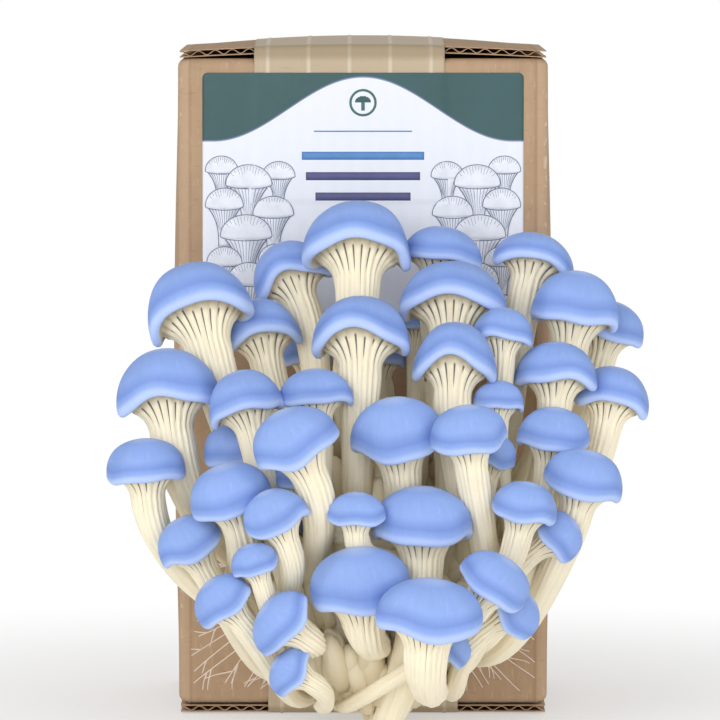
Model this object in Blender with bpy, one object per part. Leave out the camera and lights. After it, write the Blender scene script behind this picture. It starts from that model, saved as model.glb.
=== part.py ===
"""Oyster mushroom grow kit: a taped carton with a cluster of mushrooms growing out of its front.

The carton stands on the XY plane with its front towards -Y and +Z up. The origin is the middle of
its underside. Inside are a block of substrate and the film bag round it; the mushrooms grow from
one lumpy base that comes out of the carton's window. Every stem with its cap is one piece.
"""

import math
from dataclasses import dataclass

import bmesh
import bpy
import numpy as np
from mathutils.bvhtree import BVHTree

MM = 0.001
GAP = 0.3 * MM  # left between pieces that touch

# Carton, folded from one sheet of corrugated board
CARTON_WIDTH = 136 * MM
CARTON_DEPTH = 110 * MM
CARTON_HEIGHT = 245 * MM
BOARD = 3 * MM
SIDE_BULGE = 3 * MM
CROWN = 4.5 * MM
CARTON_CUTS = 3

# Paper tape over the top and under the bottom
TAPE_WIDTH = 70 * MM
TAPE_THICKNESS = 0.3 * MM
TOP_TAPE_END = 216 * MM
BOTTOM_TAPE_END = 27.5 * MM
BACK_LEG = 55 * MM
TOP_TAPE_SHIFT = -5 * MM
BOTTOM_TAPE_SHIFT = 0.0

# Paper label
LABEL_WIDTH = 118 * MM
LABEL_BOTTOM = 142 * MM
LABEL_TOP = 237 * MM
LABEL_RADIUS = 2 * MM
LABEL_THICKNESS = 0.3 * MM

# Window in the front wall, and the slit of the bag behind it
WINDOW_WIDTH = 76 * MM
WINDOW_HEIGHT = 84 * MM
WINDOW_MIDDLE = 71 * MM
WINDOW_RADIUS = 18 * MM
SLIT_MARGIN = 2 * MM
FILM = 0.5 * MM
CORNER_STEPS = 4

# Lumpy base of the cluster: distance before the carton's front, half width, half height, middle height
BASE_SECTIONS = [
    (-4.0, 29, 37, 71),
    (2.0, 31, 38, 70),
    (12.0, 42, 49, 62),
    (26.0, 43, 47, 56),
    (40.0, 38, 41, 49),
    (52.0, 27, 30, 39),
]
BASE_NOSE = (60.0, 34)
BASE_SIDES = 16

# Mushrooms
SIDES = 10
CAP_DEPTH_SHARE = 0.62
STEM_SETBACK = 0.25
CAP_PROFILE = [(0.50, 0.88), (0.86, 0.52), (1.00, 0.06), (0.86, -0.12)]
GILL_RADIUS, GILL_HEIGHT = 0.60, -0.12
NECK_RADIUS, NECK_HEIGHT = 0.38, -0.62
CAP_MIDDLE = 0.40
STEM_TAPER = [(0.33, 0.85), (0.70, 0.66)]
ROOT_RADIUS = 2.6 * MM
STEM_BOW = 0.35
ROOT_BOW = 0.25
ROOT_LIFT = 1.6 * MM
FIRST_ROOT_RING = 0.35
ROOT_RINGS = 16

# Rules for the places of the stems and caps
MEETING_POINT = np.array([4.0, 22.0, 16.0]) * MM
ROOT_SHARE = 0.36
CLEARANCE = 0.6 * MM
FORWARD_STEP = 2.0 * MM
FORWARD_STEPS = 24
ROOTS_TRIED = 130
ROOT_STRIDE = 6
NUDGE = 3 * MM
NUDGES = [(0, 0), (NUDGE, 0), (-NUDGE, 0), (0, NUDGE), (0, -NUDGE),
          (2 * NUDGE, 0), (-2 * NUDGE, 0), (0, 2 * NUDGE), (0, -2 * NUDGE)]
SIZES_TRIED = (1.0, 0.9, 0.8, 0.7)
EDGE_SETBACK = 0.30
RISE = 0.07  # height that a cap gains for its reach, because stems grow upwards
HALF_SPREAD = 100 * MM


TURN = np.arange(SIDES) * 2 * math.pi / SIDES
COSINES, SINES = np.cos(TURN)[:, None], np.sin(TURN)[:, None]


@dataclass
class Specimen:
    """One mushroom: place and size of its cap from the front in mm, lean and tip of its axis in degrees."""

    x: float
    z: float
    width: float
    height: float
    lean: float
    tip: float


# Rows in the order of placing; reach is how far the caps' middles stand before the carton.
ROWS = {
    "leading": (94, [
        Specimen(-27, 21, 18.5, 9.5, -60, 10),
        Specimen(-1.5, 54, 37, 18.5, -6, 14),
        Specimen(17.5, 45.5, 38.5, 16.5, 4, 10),
        Specimen(-24.5, 39.5, 26, 11.5, -55, 12),
    ]),
    "hidden": (50, [
        Specimen(-23.5, 73.5, 18.5, 11, -22, 8),
    ]),
    "inner": (20, [
        Specimen(20.5, 147, 17, 9, 5, 0),
        Specimen(-21, 135.5, 18, 10, -5, 0),
        Specimen(12, 135, 20, 11, 0, 0),
    ]),
    "top": (28, [
        Specimen(29, 173, 30, 11.5, 8, -5),
        Specimen(-28, 166, 29, 14, -22, -12),
        Specimen(63, 171, 31, 11, 14, -10),
        Specimen(-2, 173, 40, 18, 0, -18),
        Specimen(33, 161.5, 39, 16, 3, -18),
        Specimen(50.5, 151.5, 23, 11, 3, -5),
        Specimen(90, 145.5, 28, 12.5, 14, 0),
        Specimen(71.5, 154.5, 32, 17, 8, 0),
    ]),
    "upper": (42, [
        Specimen(-32, 145, 29, 14, -12, -8),
        Specimen(-55, 156, 40, 19, -15, -18),
        Specimen(-1, 146, 36, 16, 0, -18),
        Specimen(33, 137, 31, 16, 3, -12),
    ]),
    "middle": (54, [
        Specimen(-11, 123, 26, 11, -3, 0),
        Specimen(-65, 126, 37, 18, -7, -4),
        Specimen(-37, 121, 28, 14, -15, -4),
        Specimen(46, 119.5, 18, 9, 3, 0),
        Specimen(91, 121, 28, 13, 12, -4),
        Specimen(67, 130, 30, 13.5, 3, -4),
    ]),
    "lower": (64, [
        Specimen(-52, 101.5, 24, 13, -5, 5),
        Specimen(-72, 97, 29, 13, -4, 5),
        Specimen(45, 99, 15, 10, 15, 5),
        Specimen(62.5, 107, 27, 13, 6, 5),
        Specimen(80, 98, 30, 14, 15, 8),
        Specimen(-23, 93, 18, 11, -10, 5),
        Specimen(6, 108.5, 34, 18, -6, 12),
        Specimen(-19.5, 107, 31, 16.5, -24, 8),
        Specimen(31, 109, 28, 14, -6, 10),
    ]),
    "bottom": (74, [
        Specimen(24, 77, 37, 17, 0, 5),
        Specimen(65, 70, 20, 11, 55, 10),
        Specimen(55, 50, 21.5, 11.5, 55, 10),
        Specimen(-32, 85.5, 23, 13, -22, 8),
        Specimen(-69, 68.5, 25, 13, -28, 8),
        Specimen(-48, 81, 30, 15, -16, 14),
        Specimen(-5.5, 80, 26, 12, 0, 8),
        Specimen(52, 82, 24, 12, 12, 6),
    ]),
    "front": (82, [
        Specimen(-33, 62, 25, 13, -18, 10),
        Specimen(-45, 48, 25, 13, -40, 10),
        Specimen(42, 56, 30, 14, 35, 14),
        Specimen(33, 24, 16.5, 8.5, 60, 10),
    ]),
}


def make_material(name, colour, roughness):
    """A Principled material of one colour."""
    material = bpy.data.materials.new(name)
    material.use_nodes = True
    shader = material.node_tree.nodes["Principled BSDF"]
    shader.inputs["Base Color"].default_value = (*colour, 1.0)
    shader.inputs["Roughness"].default_value = roughness
    shader.inputs["Metallic"].default_value = 0.0
    return material


def add_object(name, vertices, faces, material=None):
    """A named mesh object from lists of points and faces."""
    mesh = bpy.data.meshes.new(name)
    mesh.from_pydata([tuple(map(float, point)) for point in vertices], [], faces)
    mesh.validate()
    if material is not None:
        mesh.materials.append(material)
    thing = bpy.data.objects.new(name, mesh)
    bpy.context.scene.collection.objects.link(thing)
    return thing


def hide_helper(thing):
    """Marks an object as a cutter that isn't a piece."""
    thing.hide_render = True
    thing.display_type = "WIRE"


def cut(target, cutter):
    """Takes the cutter's shape out of the target with a Boolean modifier."""
    hide_helper(cutter)
    modifier = target.modifiers.new("cut_" + cutter.name, "BOOLEAN")
    modifier.operation = "DIFFERENCE"
    modifier.object = cutter


def add_box(name, low, high, material=None, cuts=0):
    """A box between two corners, with each side cut into a grid."""
    mesh = bpy.data.meshes.new(name)
    work = bmesh.new()
    bmesh.ops.create_cube(work, size=1.0)
    if cuts:
        bmesh.ops.subdivide_edges(work, edges=work.edges[:], cuts=cuts, use_grid_fill=True)
    for vertex in work.verts:
        for axis in range(3):
            vertex.co[axis] = low[axis] + (vertex.co[axis] + 0.5) * (high[axis] - low[axis])
    work.to_mesh(mesh)
    work.free()
    if material is not None:
        mesh.materials.append(material)
    thing = bpy.data.objects.new(name, mesh)
    bpy.context.scene.collection.objects.link(thing)
    return thing


def crown_lines():
    """The X places where the carton's top is creased into flat facets."""
    return np.linspace(-CARTON_WIDTH / 2, CARTON_WIDTH / 2, CARTON_CUTS + 2)


def crown_height(x):
    """Rise of the carton's top above its height at X, straight between the creases."""
    lines = crown_lines()
    rises = CROWN * (1 - (2 * lines / CARTON_WIDTH) ** 2)
    return float(np.interp(x, lines, rises))


def bulge_carton(thing, floor, inset):
    """Swells the side walls and crowns the top of a gridded box."""
    half_width = CARTON_WIDTH / 2 - inset
    top = CARTON_HEIGHT - inset
    for vertex in thing.data.vertices:
        x, y, z = vertex.co
        across = 1 - (2 * y / CARTON_DEPTH) ** 2
        along = 1 - (2 * (z - floor) / (top - floor) - 1) ** 2
        if abs(abs(x) - half_width) < GAP:
            vertex.co.x += math.copysign(SIDE_BULGE * across * along, x)
        if abs(z - top) < GAP:
            vertex.co.z += crown_height(x)


def rounded_outline(width, height, middle, radius):
    """Points round a rectangle with round corners in the XZ plane, anticlockwise from the front."""
    points = []
    for corner in range(4):
        side_x = 1 if corner in (0, 3) else -1
        side_z = 1 if corner in (0, 1) else -1
        centre_x = side_x * (width / 2 - radius)
        centre_z = middle + side_z * (height / 2 - radius)
        for step in range(CORNER_STEPS + 1):
            angle = math.pi / 2 * (corner + step / CORNER_STEPS)
            points.append((centre_x + radius * math.cos(angle), centre_z + radius * math.sin(angle)))
    return points


def add_plate(name, outline, front, back, material=None):
    """A flat plate with the given XZ outline between two Y places."""
    count = len(outline)
    vertices = [(x, front, z) for x, z in outline] + [(x, back, z) for x, z in outline]
    faces = [tuple(range(count)), tuple(range(2 * count - 1, count - 1, -1))]
    for i in range(count):
        j = (i + 1) % count
        faces.append((j, i, count + i, count + j))
    return add_object(name, vertices, faces, material)


def add_carton(material):
    """The carton: bulged walls and closed flaps round a hollow, with the window in its front."""
    floor = TAPE_THICKNESS + GAP
    half_width, half_depth = CARTON_WIDTH / 2, CARTON_DEPTH / 2
    carton = add_box("carton", (-half_width, -half_depth, floor),
                     (half_width, half_depth, CARTON_HEIGHT), material, CARTON_CUTS)
    bulge_carton(carton, floor, 0.0)
    hollow = add_box("carton_hollow", (BOARD - half_width, BOARD - half_depth, floor + BOARD),
                     (half_width - BOARD, half_depth - BOARD, CARTON_HEIGHT - BOARD), None, CARTON_CUTS)
    bulge_carton(hollow, floor + BOARD, BOARD)
    cut(carton, hollow)
    outline = rounded_outline(WINDOW_WIDTH, WINDOW_HEIGHT, WINDOW_MIDDLE, WINDOW_RADIUS)
    window = add_plate("carton_window", outline, -half_depth - BOARD, BOARD * 1.5 - half_depth)
    cut(carton, window)


def add_tape(name, shift, over_top, front_end, material):
    """A strip that runs down the front, across the top or the underside, and down the back."""
    columns = sorted({shift - TAPE_WIDTH / 2, shift + TAPE_WIDTH / 2,
                      *(x for x in crown_lines() if abs(x - shift) < TAPE_WIDTH / 2)})
    up = 1 if over_top else -1
    level = CARTON_HEIGHT if over_top else TAPE_THICKNESS + GAP
    back_end = level - up * BACK_LEG
    vertices = []
    for x in columns:
        rise = crown_height(x) if over_top else 0.0
        for offset in (GAP, GAP + TAPE_THICKNESS):
            wall = CARTON_DEPTH / 2 + offset
            bend = level + rise + up * offset
            vertices += [(x, -wall, front_end), (x, -wall, bend), (x, wall, bend), (x, wall, back_end)]
    ring = [0, 1, 2, 3, 7, 6, 5, 4]
    faces = [tuple(ring), tuple(reversed([8 * (len(columns) - 1) + k for k in ring]))]
    for column in range(len(columns) - 1):
        for k in range(8):
            here, there = ring[k], ring[(k + 1) % 8]
            faces.append((8 * column + there, 8 * column + here,
                          8 * (column + 1) + here, 8 * (column + 1) + there))
    if over_top:
        faces = [tuple(reversed(face)) for face in faces]
    add_object(name, vertices, faces, material)


def add_label(material):
    """The paper label, just clear of the end of the tape under it."""
    back = -CARTON_DEPTH / 2 - 2 * GAP - TAPE_THICKNESS
    middle = (LABEL_TOP + LABEL_BOTTOM) / 2
    outline = rounded_outline(LABEL_WIDTH, LABEL_TOP - LABEL_BOTTOM, middle, LABEL_RADIUS)
    add_plate("label", outline, back - LABEL_THICKNESS, back, material)


def add_filling(film_material, substrate_material):
    """The film bag with its slit, and the block of substrate inside it."""
    floor = TAPE_THICKNESS + GAP + BOARD
    sides = CARTON_WIDTH / 2 - BOARD
    ends = CARTON_DEPTH / 2 - BOARD
    bag_low = np.array([GAP - sides, GAP - ends, floor + GAP])
    bag_high = np.array([sides - GAP, ends - GAP, CARTON_HEIGHT - BOARD - GAP])
    bag = add_box("grow_bag", bag_low, bag_high, film_material)
    cut(bag, add_box("bag_hollow", bag_low + FILM, bag_high - FILM))
    outline = rounded_outline(WINDOW_WIDTH - 2 * SLIT_MARGIN, WINDOW_HEIGHT - 2 * SLIT_MARGIN,
                              WINDOW_MIDDLE, WINDOW_RADIUS - SLIT_MARGIN)
    cut(bag, add_plate("bag_slit", outline, bag_low[1] - BOARD, bag_low[1] + 2 * FILM))
    add_box("substrate_block", bag_low + FILM + GAP, bag_high - FILM - GAP, substrate_material)


def front_point(x, forward, z):
    """A point given by its distance before the carton's front."""
    return np.stack(np.broadcast_arrays(x, -CARTON_DEPTH / 2 - forward, z), axis=-1)


def base_sections():
    """Rings of points along the cluster's base, from the block to its nose."""
    angles = np.arange(BASE_SIDES) * 2 * math.pi / BASE_SIDES
    rings = []
    for number, (forward, half_width, half_height, middle) in enumerate(BASE_SECTIONS):
        lump = 1 + 0.05 * np.sin(3 * angles + 1.7 * number)
        x = MEETING_POINT[0] + half_width * MM * lump * np.cos(angles)
        z = middle * MM + half_height * MM * lump * np.sin(angles)
        rings.append(front_point(x, forward * MM, z))
    return np.array(rings)


def ring_faces(count, sides):
    """Triangles of a closed skin over stacked rings, whose first and last points are its poles."""
    faces = []
    last = count * sides + 1
    for i in range(sides):
        j = (i + 1) % sides
        faces.append((0, 1 + j, 1 + i))
        faces.append((last, last - sides + i, last - sides + j))
        for ring in range(count - 1):
            upper, lower = 1 + ring * sides, 1 + (ring + 1) * sides
            faces.append((upper + i, upper + j, lower + j))
            faces.append((upper + i, lower + j, lower + i))
    return faces


def add_cluster_base(material):
    """The lumpy base, which fills the window and droops before the carton."""
    rings = base_sections()
    block_face = CARTON_DEPTH / 2 - BOARD - FILM - GAP
    rings[0, :, 1] = -block_face
    back = rings[0].mean(axis=0)
    nose = front_point(MEETING_POINT[0], BASE_NOSE[0] * MM, BASE_NOSE[1] * MM)
    vertices = np.vstack([back, rings.reshape(-1, 3), nose])
    add_object("cluster_base", vertices, ring_faces(len(rings), BASE_SIDES), material)


def root_sites(base_tree):
    """Places on the base where a stem can start, and the outward direction at each."""
    rings = base_sections()[1:]
    sites = [front_point(MEETING_POINT[0], BASE_NOSE[0] * MM, BASE_NOSE[1] * MM)[None, :]]
    for share in np.linspace(FIRST_ROOT_RING, len(rings) - 1, ROOT_RINGS):
        index = min(int(share), len(rings) - 2)
        part = share - index
        ring = rings[index] * (1 - part) + rings[index + 1] * part
        sites.append(np.concatenate([ring, (ring + np.roll(ring, 1, axis=0)) / 2]))
    nearest = [base_tree.find_nearest(point) for point in np.concatenate(sites).tolist()]
    places = np.array([tuple(found[0]) for found in nearest])
    outwards = np.array([tuple(found[1]) for found in nearest])
    return places, outwards


def unit(vector):
    """The vector at length one."""
    return vector / np.linalg.norm(vector)


def cap_points(specimen, middle, size, grow):
    """Points of one cap from its pole to the gills, then the place, radius and directions of its neck."""
    lean, tip = math.radians(specimen.lean), math.radians(specimen.tip)
    side = np.array([math.cos(lean), 0.0, -math.sin(lean)])
    up = np.array([math.sin(lean) * math.cos(tip), -math.sin(tip), math.cos(lean) * math.cos(tip)])
    ahead = np.cross(side, up)
    half_width = specimen.width * MM / 2 * size + grow
    half_depth = half_width * CAP_DEPTH_SHARE
    height = specimen.height * MM * size + grow
    rim = middle - up * height * CAP_MIDDLE
    stem_axis = rim - ahead * half_depth * STEM_SETBACK
    across, deep = side * half_width, ahead * half_depth
    points = [rim + up * height]
    for radius, level in CAP_PROFILE:
        points.extend(rim + radius * (across * COSINES + deep * SINES) + up * height * level)
    gill_middle = (rim + stem_axis) / 2 + up * height * GILL_HEIGHT
    points.extend(gill_middle + GILL_RADIUS * (across * COSINES + deep * SINES))
    neck = stem_axis + up * height * NECK_HEIGHT
    return points, neck, half_width * NECK_RADIUS, side, up


def mushroom_points(specimen, middle, site, outward, size, grow):
    """Points of one mushroom: the cap's pole, ten-sided rings down to the root, and the root's pole."""
    points, neck, neck_radius, side, up = cap_points(specimen, middle, size, grow)
    root = site + outward * ROOT_LIFT
    span = np.linalg.norm(neck - root)
    bow = neck - up * span * STEM_BOW
    heel = root + outward * span * ROOT_BOW
    stations = [(0.0, neck_radius)]
    stations += [(share, max(neck_radius * scale, ROOT_RADIUS + grow)) for share, scale in STEM_TAPER]
    stations.append((1.0, ROOT_RADIUS + grow))
    for share, radius in stations:
        rest = 1 - share
        centre = rest ** 3 * neck + 3 * rest ** 2 * share * bow
        centre = centre + 3 * rest * share ** 2 * heel + share ** 3 * root
        along = unit(rest ** 2 * (bow - neck) + 2 * rest * share * (heel - bow) + share ** 2 * (root - heel))
        across = unit(side - along * np.dot(side, along))
        deep = np.cross(across, -along)
        points.extend(centre + radius * (across * COSINES + deep * SINES))
    points.append(root)
    return np.array(points)


def skin(points):
    """A search tree over the mushroom's triangles."""
    faces = ring_faces((len(points) - 2) // SIDES, SIDES)
    return BVHTree.FromPolygons([tuple(point) for point in points.tolist()], faces)


class Placer:
    """Finds a free place for each mushroom, from the carton outwards."""

    def __init__(self, base_low, base_high, base_tree):
        self.placed = [(base_low, base_high, base_tree)]
        self.places, self.outwards = root_sites(base_tree)

    def clear(self, points):
        """Whether a mushroom with these points touches nothing placed so far and stays off the floor."""
        low, high = points.min(axis=0), points.max(axis=0)
        if low[2] < 2 * MM or high[1] > -CARTON_DEPTH / 2 - 2 * MM:
            return False
        tree = skin(points)
        for other_low, other_high, other in self.placed:
            if (low < other_high).all() and (high > other_low).all() and tree.overlap(other):
                return False
        return True

    def place(self, specimen, reach):
        """The first free size, reach and root for a specimen, as its finished points."""
        cap = front_point(specimen.x * MM, reach, specimen.z * MM + RISE * reach)
        meeting = front_point(MEETING_POINT[0], MEETING_POINT[1], MEETING_POINT[2])
        wanted = meeting + (cap - meeting) * ROOT_SHARE
        order = np.argsort(np.linalg.norm(self.places - wanted, axis=1), kind="stable")
        for size in SIZES_TRIED:
            for step in range(FORWARD_STEPS):
                for nudge_x, nudge_z in NUDGES:
                    middle = cap + np.array([nudge_x, -step * FORWARD_STEP, nudge_z])
                    cap_only, neck = cap_points(specimen, middle, size, CLEARANCE)[:2]
                    if not self.clear(np.array([*cap_only, neck])):
                        continue
                    for k in order[:ROOTS_TRIED:ROOT_STRIDE]:
                        root = self.places[k], self.outwards[k]
                        if self.clear(mushroom_points(specimen, middle, *root, size, CLEARANCE)):
                            points = mushroom_points(specimen, middle, *root, size, 0.0)
                            self.placed.append((points.min(axis=0), points.max(axis=0), skin(points)))
                            return points
        return None


def add_mushrooms(material):
    """All the mushrooms, row by row."""
    base = bpy.data.objects["cluster_base"].data
    base_points = np.array([tuple(vertex.co) for vertex in base.vertices])
    base_tree = BVHTree.FromPolygons(base_points.tolist(), [tuple(face.vertices) for face in base.polygons])
    placer = Placer(base_points.min(axis=0), base_points.max(axis=0), base_tree)
    for row, (row_reach, specimens) in ROWS.items():
        for number, specimen in enumerate(specimens, start=1):
            reach = row_reach * MM * (1 - EDGE_SETBACK * (specimen.x * MM / HALF_SPREAD) ** 2)
            points = placer.place(specimen, reach)
            if points is None:
                raise RuntimeError(f"no free place for {row}_mushroom_{number}")
            faces = ring_faces((len(points) - 2) // SIDES, SIDES)
            mushroom = add_object(f"{row}_mushroom_{number}", points, faces, material)
            mushroom.data.shade_smooth()


def main():
    """Clears the scene and builds every piece."""
    for thing in list(bpy.data.objects):
        bpy.data.objects.remove(thing)
    kraft = make_material("kraft_board", (0.50, 0.33, 0.20), 0.85)
    tape = make_material("gummed_tape", (0.60, 0.50, 0.34), 0.55)
    paper = make_material("label_paper", (0.74, 0.77, 0.84), 0.5)
    film = make_material("bag_film", (0.8, 0.8, 0.78), 0.3)
    substrate = make_material("substrate", (0.62, 0.52, 0.38), 0.9)
    flesh = make_material("cluster_flesh", (0.84, 0.76, 0.58), 0.6)
    cap = make_material("cap_blue", (0.27, 0.41, 0.74), 0.5)
    add_carton(kraft)
    add_tape("top_tape", TOP_TAPE_SHIFT, True, TOP_TAPE_END, tape)
    add_tape("bottom_tape", BOTTOM_TAPE_SHIFT, False, BOTTOM_TAPE_END, tape)
    add_label(paper)
    add_filling(film, substrate)
    add_cluster_base(flesh)
    add_mushrooms(cap)


main()
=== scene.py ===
"""Looks of an oyster mushroom grow kit: a kraft carton with a fan of blue mushrooms in its window.

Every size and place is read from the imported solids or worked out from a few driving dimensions, in
metres.
"""

import logging
import math
from collections.abc import Callable
from dataclasses import dataclass
from enum import Enum

import bpy
import numpy as np
from mathutils import Matrix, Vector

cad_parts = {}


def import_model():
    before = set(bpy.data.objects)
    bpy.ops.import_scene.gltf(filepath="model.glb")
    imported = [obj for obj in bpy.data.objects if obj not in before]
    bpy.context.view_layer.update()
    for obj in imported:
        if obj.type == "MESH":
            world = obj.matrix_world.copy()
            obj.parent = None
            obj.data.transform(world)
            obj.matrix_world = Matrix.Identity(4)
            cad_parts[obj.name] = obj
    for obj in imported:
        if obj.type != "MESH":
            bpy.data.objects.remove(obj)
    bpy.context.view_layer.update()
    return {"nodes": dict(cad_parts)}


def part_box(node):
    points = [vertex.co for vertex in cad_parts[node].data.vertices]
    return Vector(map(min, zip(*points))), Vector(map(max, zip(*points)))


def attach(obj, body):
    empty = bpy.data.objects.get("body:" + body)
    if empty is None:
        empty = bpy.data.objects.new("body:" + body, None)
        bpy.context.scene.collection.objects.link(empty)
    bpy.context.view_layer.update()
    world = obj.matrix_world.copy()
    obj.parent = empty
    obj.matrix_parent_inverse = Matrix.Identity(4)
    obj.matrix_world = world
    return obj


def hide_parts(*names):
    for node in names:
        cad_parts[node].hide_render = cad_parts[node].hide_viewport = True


LOG = logging.getLogger("grow_kit")
MM = 0.001
FLOOR_GAP = 0.8 * MM
Array = np.ndarray
Socket = bpy.types.NodeSocket
Material = bpy.types.Material
Colour = tuple[float, float, float, float]


class Slot(Enum):
    """Material slots."""

    KRAFT = "kraft_board"
    TAPE = "gummed_tape"
    LABEL = "label_paper"
    FILM = "bag_film"
    SUBSTRATE = "substrate"
    FLESH = "cluster_flesh"
    MUSHROOM = "mushroom"


def srgb(red: float, green: float, blue: float) -> Colour:
    """Linear colour with full alpha from 0 to 255 screen values.

    Args:
        red: red of the screen colour.
        green: its green.
        blue: its blue.

    Returns:
        The colour as shader sockets take it.
    """
    values = np.array([red, green, blue]) / 255
    linear = np.where(values <= 0.04045, values / 12.92, ((values + 0.055) / 1.055) ** 2.4)
    return (*map(float, linear), 1.0)


def smooth(value: Array, low: float, high: float) -> Array:
    """Smoothstep: 0 below low, 1 above high and an S-curve between."""
    share = np.clip((value - low) / (high - low), 0.0, 1.0)
    return share * share * (3 - 2 * share)


def unit(vectors: Array) -> Array:
    """The vectors at length one along their last axis."""
    return vectors / np.linalg.norm(vectors, axis=-1, keepdims=True)


def through(stops: Array, where: Array) -> Array:
    """Catmull-Rom curve through evenly numbered stops.

    Args:
        stops: values at 0, 1, 2 and so on, of shape (n,) or (n, k).
        where: places along them, from 0 to n - 1.

    Returns:
        One value or row for each place.
    """
    stops = np.asarray(stops, dtype=float)
    padded = np.concatenate([2 * stops[:1] - stops[1:2], stops, 2 * stops[-1:] - stops[-2:-1]])
    index = np.clip(np.floor(where).astype(int), 0, len(stops) - 2)
    part = where - index
    if stops.ndim > 1:
        part = part[:, None]
    before, start, end, after = (padded[index + k] for k in range(4))
    return 0.5 * (2 * start + (end - before) * part
                  + (2 * before - 5 * start + 4 * end - after) * part ** 2
                  + (3 * start - before - 3 * end + after) * part ** 3)


class Skin:
    """Collects surfaces worked out on grids and makes one mesh of them."""

    def __init__(self) -> None:
        """Starts with nothing in it."""
        self.points: list[Array] = []
        self.corners: list[Array] = []
        self.sizes: list[Array] = []
        self.uvs: list[Array] = []
        self.count = 0

    def _add_faces(self, faces: Array, uvs: Array) -> None:
        """Adds faces with the same number of corners, given with a UV for each corner.

        Args:
            faces: vertex numbers, one row for each face.
            uvs: U and V of each corner, in the same order.
        """
        self.corners.append(faces.reshape(-1))
        self.sizes.append(np.full(len(faces), faces.shape[1]))
        self.uvs.append(uvs.reshape(-1, 2))

    def add_grid(self, points: Array, rows: Array, columns: Array, wrap: bool = False,
                 first_pole: Array | None = None, last_pole: Array | None = None) -> None:
        """Adds a grid of quads, closed round its columns and at its ends where asked.

        Args:
            points: places, of shape (rows, columns, 3).
            rows: V value of each row.
            columns: U value of each column, with one more at the end where it wraps.
            wrap: whether the last column joins the first.
            first_pole: point that closes the first row with triangles.
            last_pole: point that closes the last row with triangles.
        """
        height, width = points.shape[:2]
        here = np.arange(width if wrap else width - 1)
        there = (here + 1) % width
        row = np.arange(height - 1)[:, None] * width + self.count
        faces = np.stack([row + here, row + there, row + width + there, row + width + here], axis=-1)
        left, right = np.broadcast_to(columns[here], faces.shape[:2]), columns[here + 1]
        right = np.broadcast_to(right, faces.shape[:2])
        top = np.broadcast_to(rows[:-1, None], faces.shape[:2])
        below = np.broadcast_to(rows[1:, None], faces.shape[:2])
        uvs = np.stack([left, top, right, top, right, below, left, below], axis=-1)
        self._add_faces(faces.reshape(-1, 4), uvs)
        self.points.append(points.reshape(-1, 3))
        first, last = self.count, self.count + (height - 1) * width
        self.count += height * width
        for pole, start, level, sign in ((first_pole, first, rows[0], -1), (last_pole, last, rows[-1], 1)):
            if pole is None:
                continue
            one, two = (start + here, start + there)[::sign]
            tip = np.full(len(here), self.count)
            u_one, u_two = (columns[here], columns[here + 1])[::sign]
            flat = np.full(len(here), level)
            middle = (u_one + u_two) / 2
            self._add_faces(np.stack([tip, one, two], axis=-1),
                            np.stack([middle, flat, u_one, flat, u_two, flat], axis=-1))
            self.points.append(np.asarray(pole).reshape(1, 3))
            self.count += 1

    def build(self, name: str) -> bpy.types.Object:
        """Makes the mesh object, smooth, at the origin.

        Args:
            name: the object's name.

        Returns:
            The object, in the scene.
        """
        mesh = bpy.data.meshes.new(name)
        points = np.concatenate(self.points).astype(np.float32)
        corners = np.concatenate(self.corners).astype(np.int32)
        sizes = np.concatenate(self.sizes).astype(np.int32)
        mesh.vertices.add(len(points))
        mesh.vertices.foreach_set("co", points.reshape(-1))
        mesh.loops.add(len(corners))
        mesh.loops.foreach_set("vertex_index", corners)
        mesh.polygons.add(len(sizes))
        starts = np.concatenate([[0], np.cumsum(sizes)[:-1]])
        mesh.polygons.foreach_set("loop_start", starts.astype(np.int32))
        mesh.uv_layers.new(name="UVMap")
        uvs = np.concatenate(self.uvs).astype(np.float32)
        mesh.uv_layers["UVMap"].uv.foreach_set("vector", uvs.reshape(-1))
        mesh.update(calc_edges=True)
        mesh.validate()
        mesh.shade_smooth()
        piece = bpy.data.objects.new(name, mesh)
        bpy.context.scene.collection.objects.link(piece)
        return piece


def sheet_piece(name: str, points: Array, rows: Array, columns: Array, **closing: object) -> bpy.types.Object:
    """Makes an object of one grid.

    Args:
        name: the object's name.
        points: places, of shape (rows, columns, 3).
        rows: V value of each row.
        columns: U value of each column.
        closing: how Skin.add_grid closes it.

    Returns:
        The object, in the scene.
    """
    skin = Skin()
    skin.add_grid(points, rows, columns, **closing)
    return skin.build(name)


def corner_arcs(half_x: float, half_y: float, radius: float, steps: int) -> list[Array]:
    """Corners of a rounded rectangle, anticlockwise from the one on the positive side of both axes.

    Args:
        half_x: half its size along the first axis.
        half_y: half its size along the second axis.
        radius: radius of each corner.
        steps: how many points a corner has.

    Returns:
        The four arcs, each of shape (steps, 2).
    """
    arcs = []
    for corner, (sign_x, sign_y) in enumerate(((1, 1), (-1, 1), (-1, -1), (1, -1))):
        angles = corner * math.pi / 2 + np.linspace(0, math.pi / 2, steps)
        centre = np.array([sign_x * (half_x - radius), sign_y * (half_y - radius)])
        arcs.append(centre + radius * np.stack([np.cos(angles), np.sin(angles)], axis=-1))
    return arcs


def finish_piece(piece: bpy.types.Object, slot: Slot, material: Material, *nodes: str) -> None:
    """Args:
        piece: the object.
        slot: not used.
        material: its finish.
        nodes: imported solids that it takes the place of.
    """
    piece.data.materials.clear()
    piece.data.materials.append(material)
    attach(piece, "root")
    if nodes:
        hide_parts(*nodes)
    LOG.info("%s: %d faces", piece.name, len(piece.data.polygons))


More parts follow.
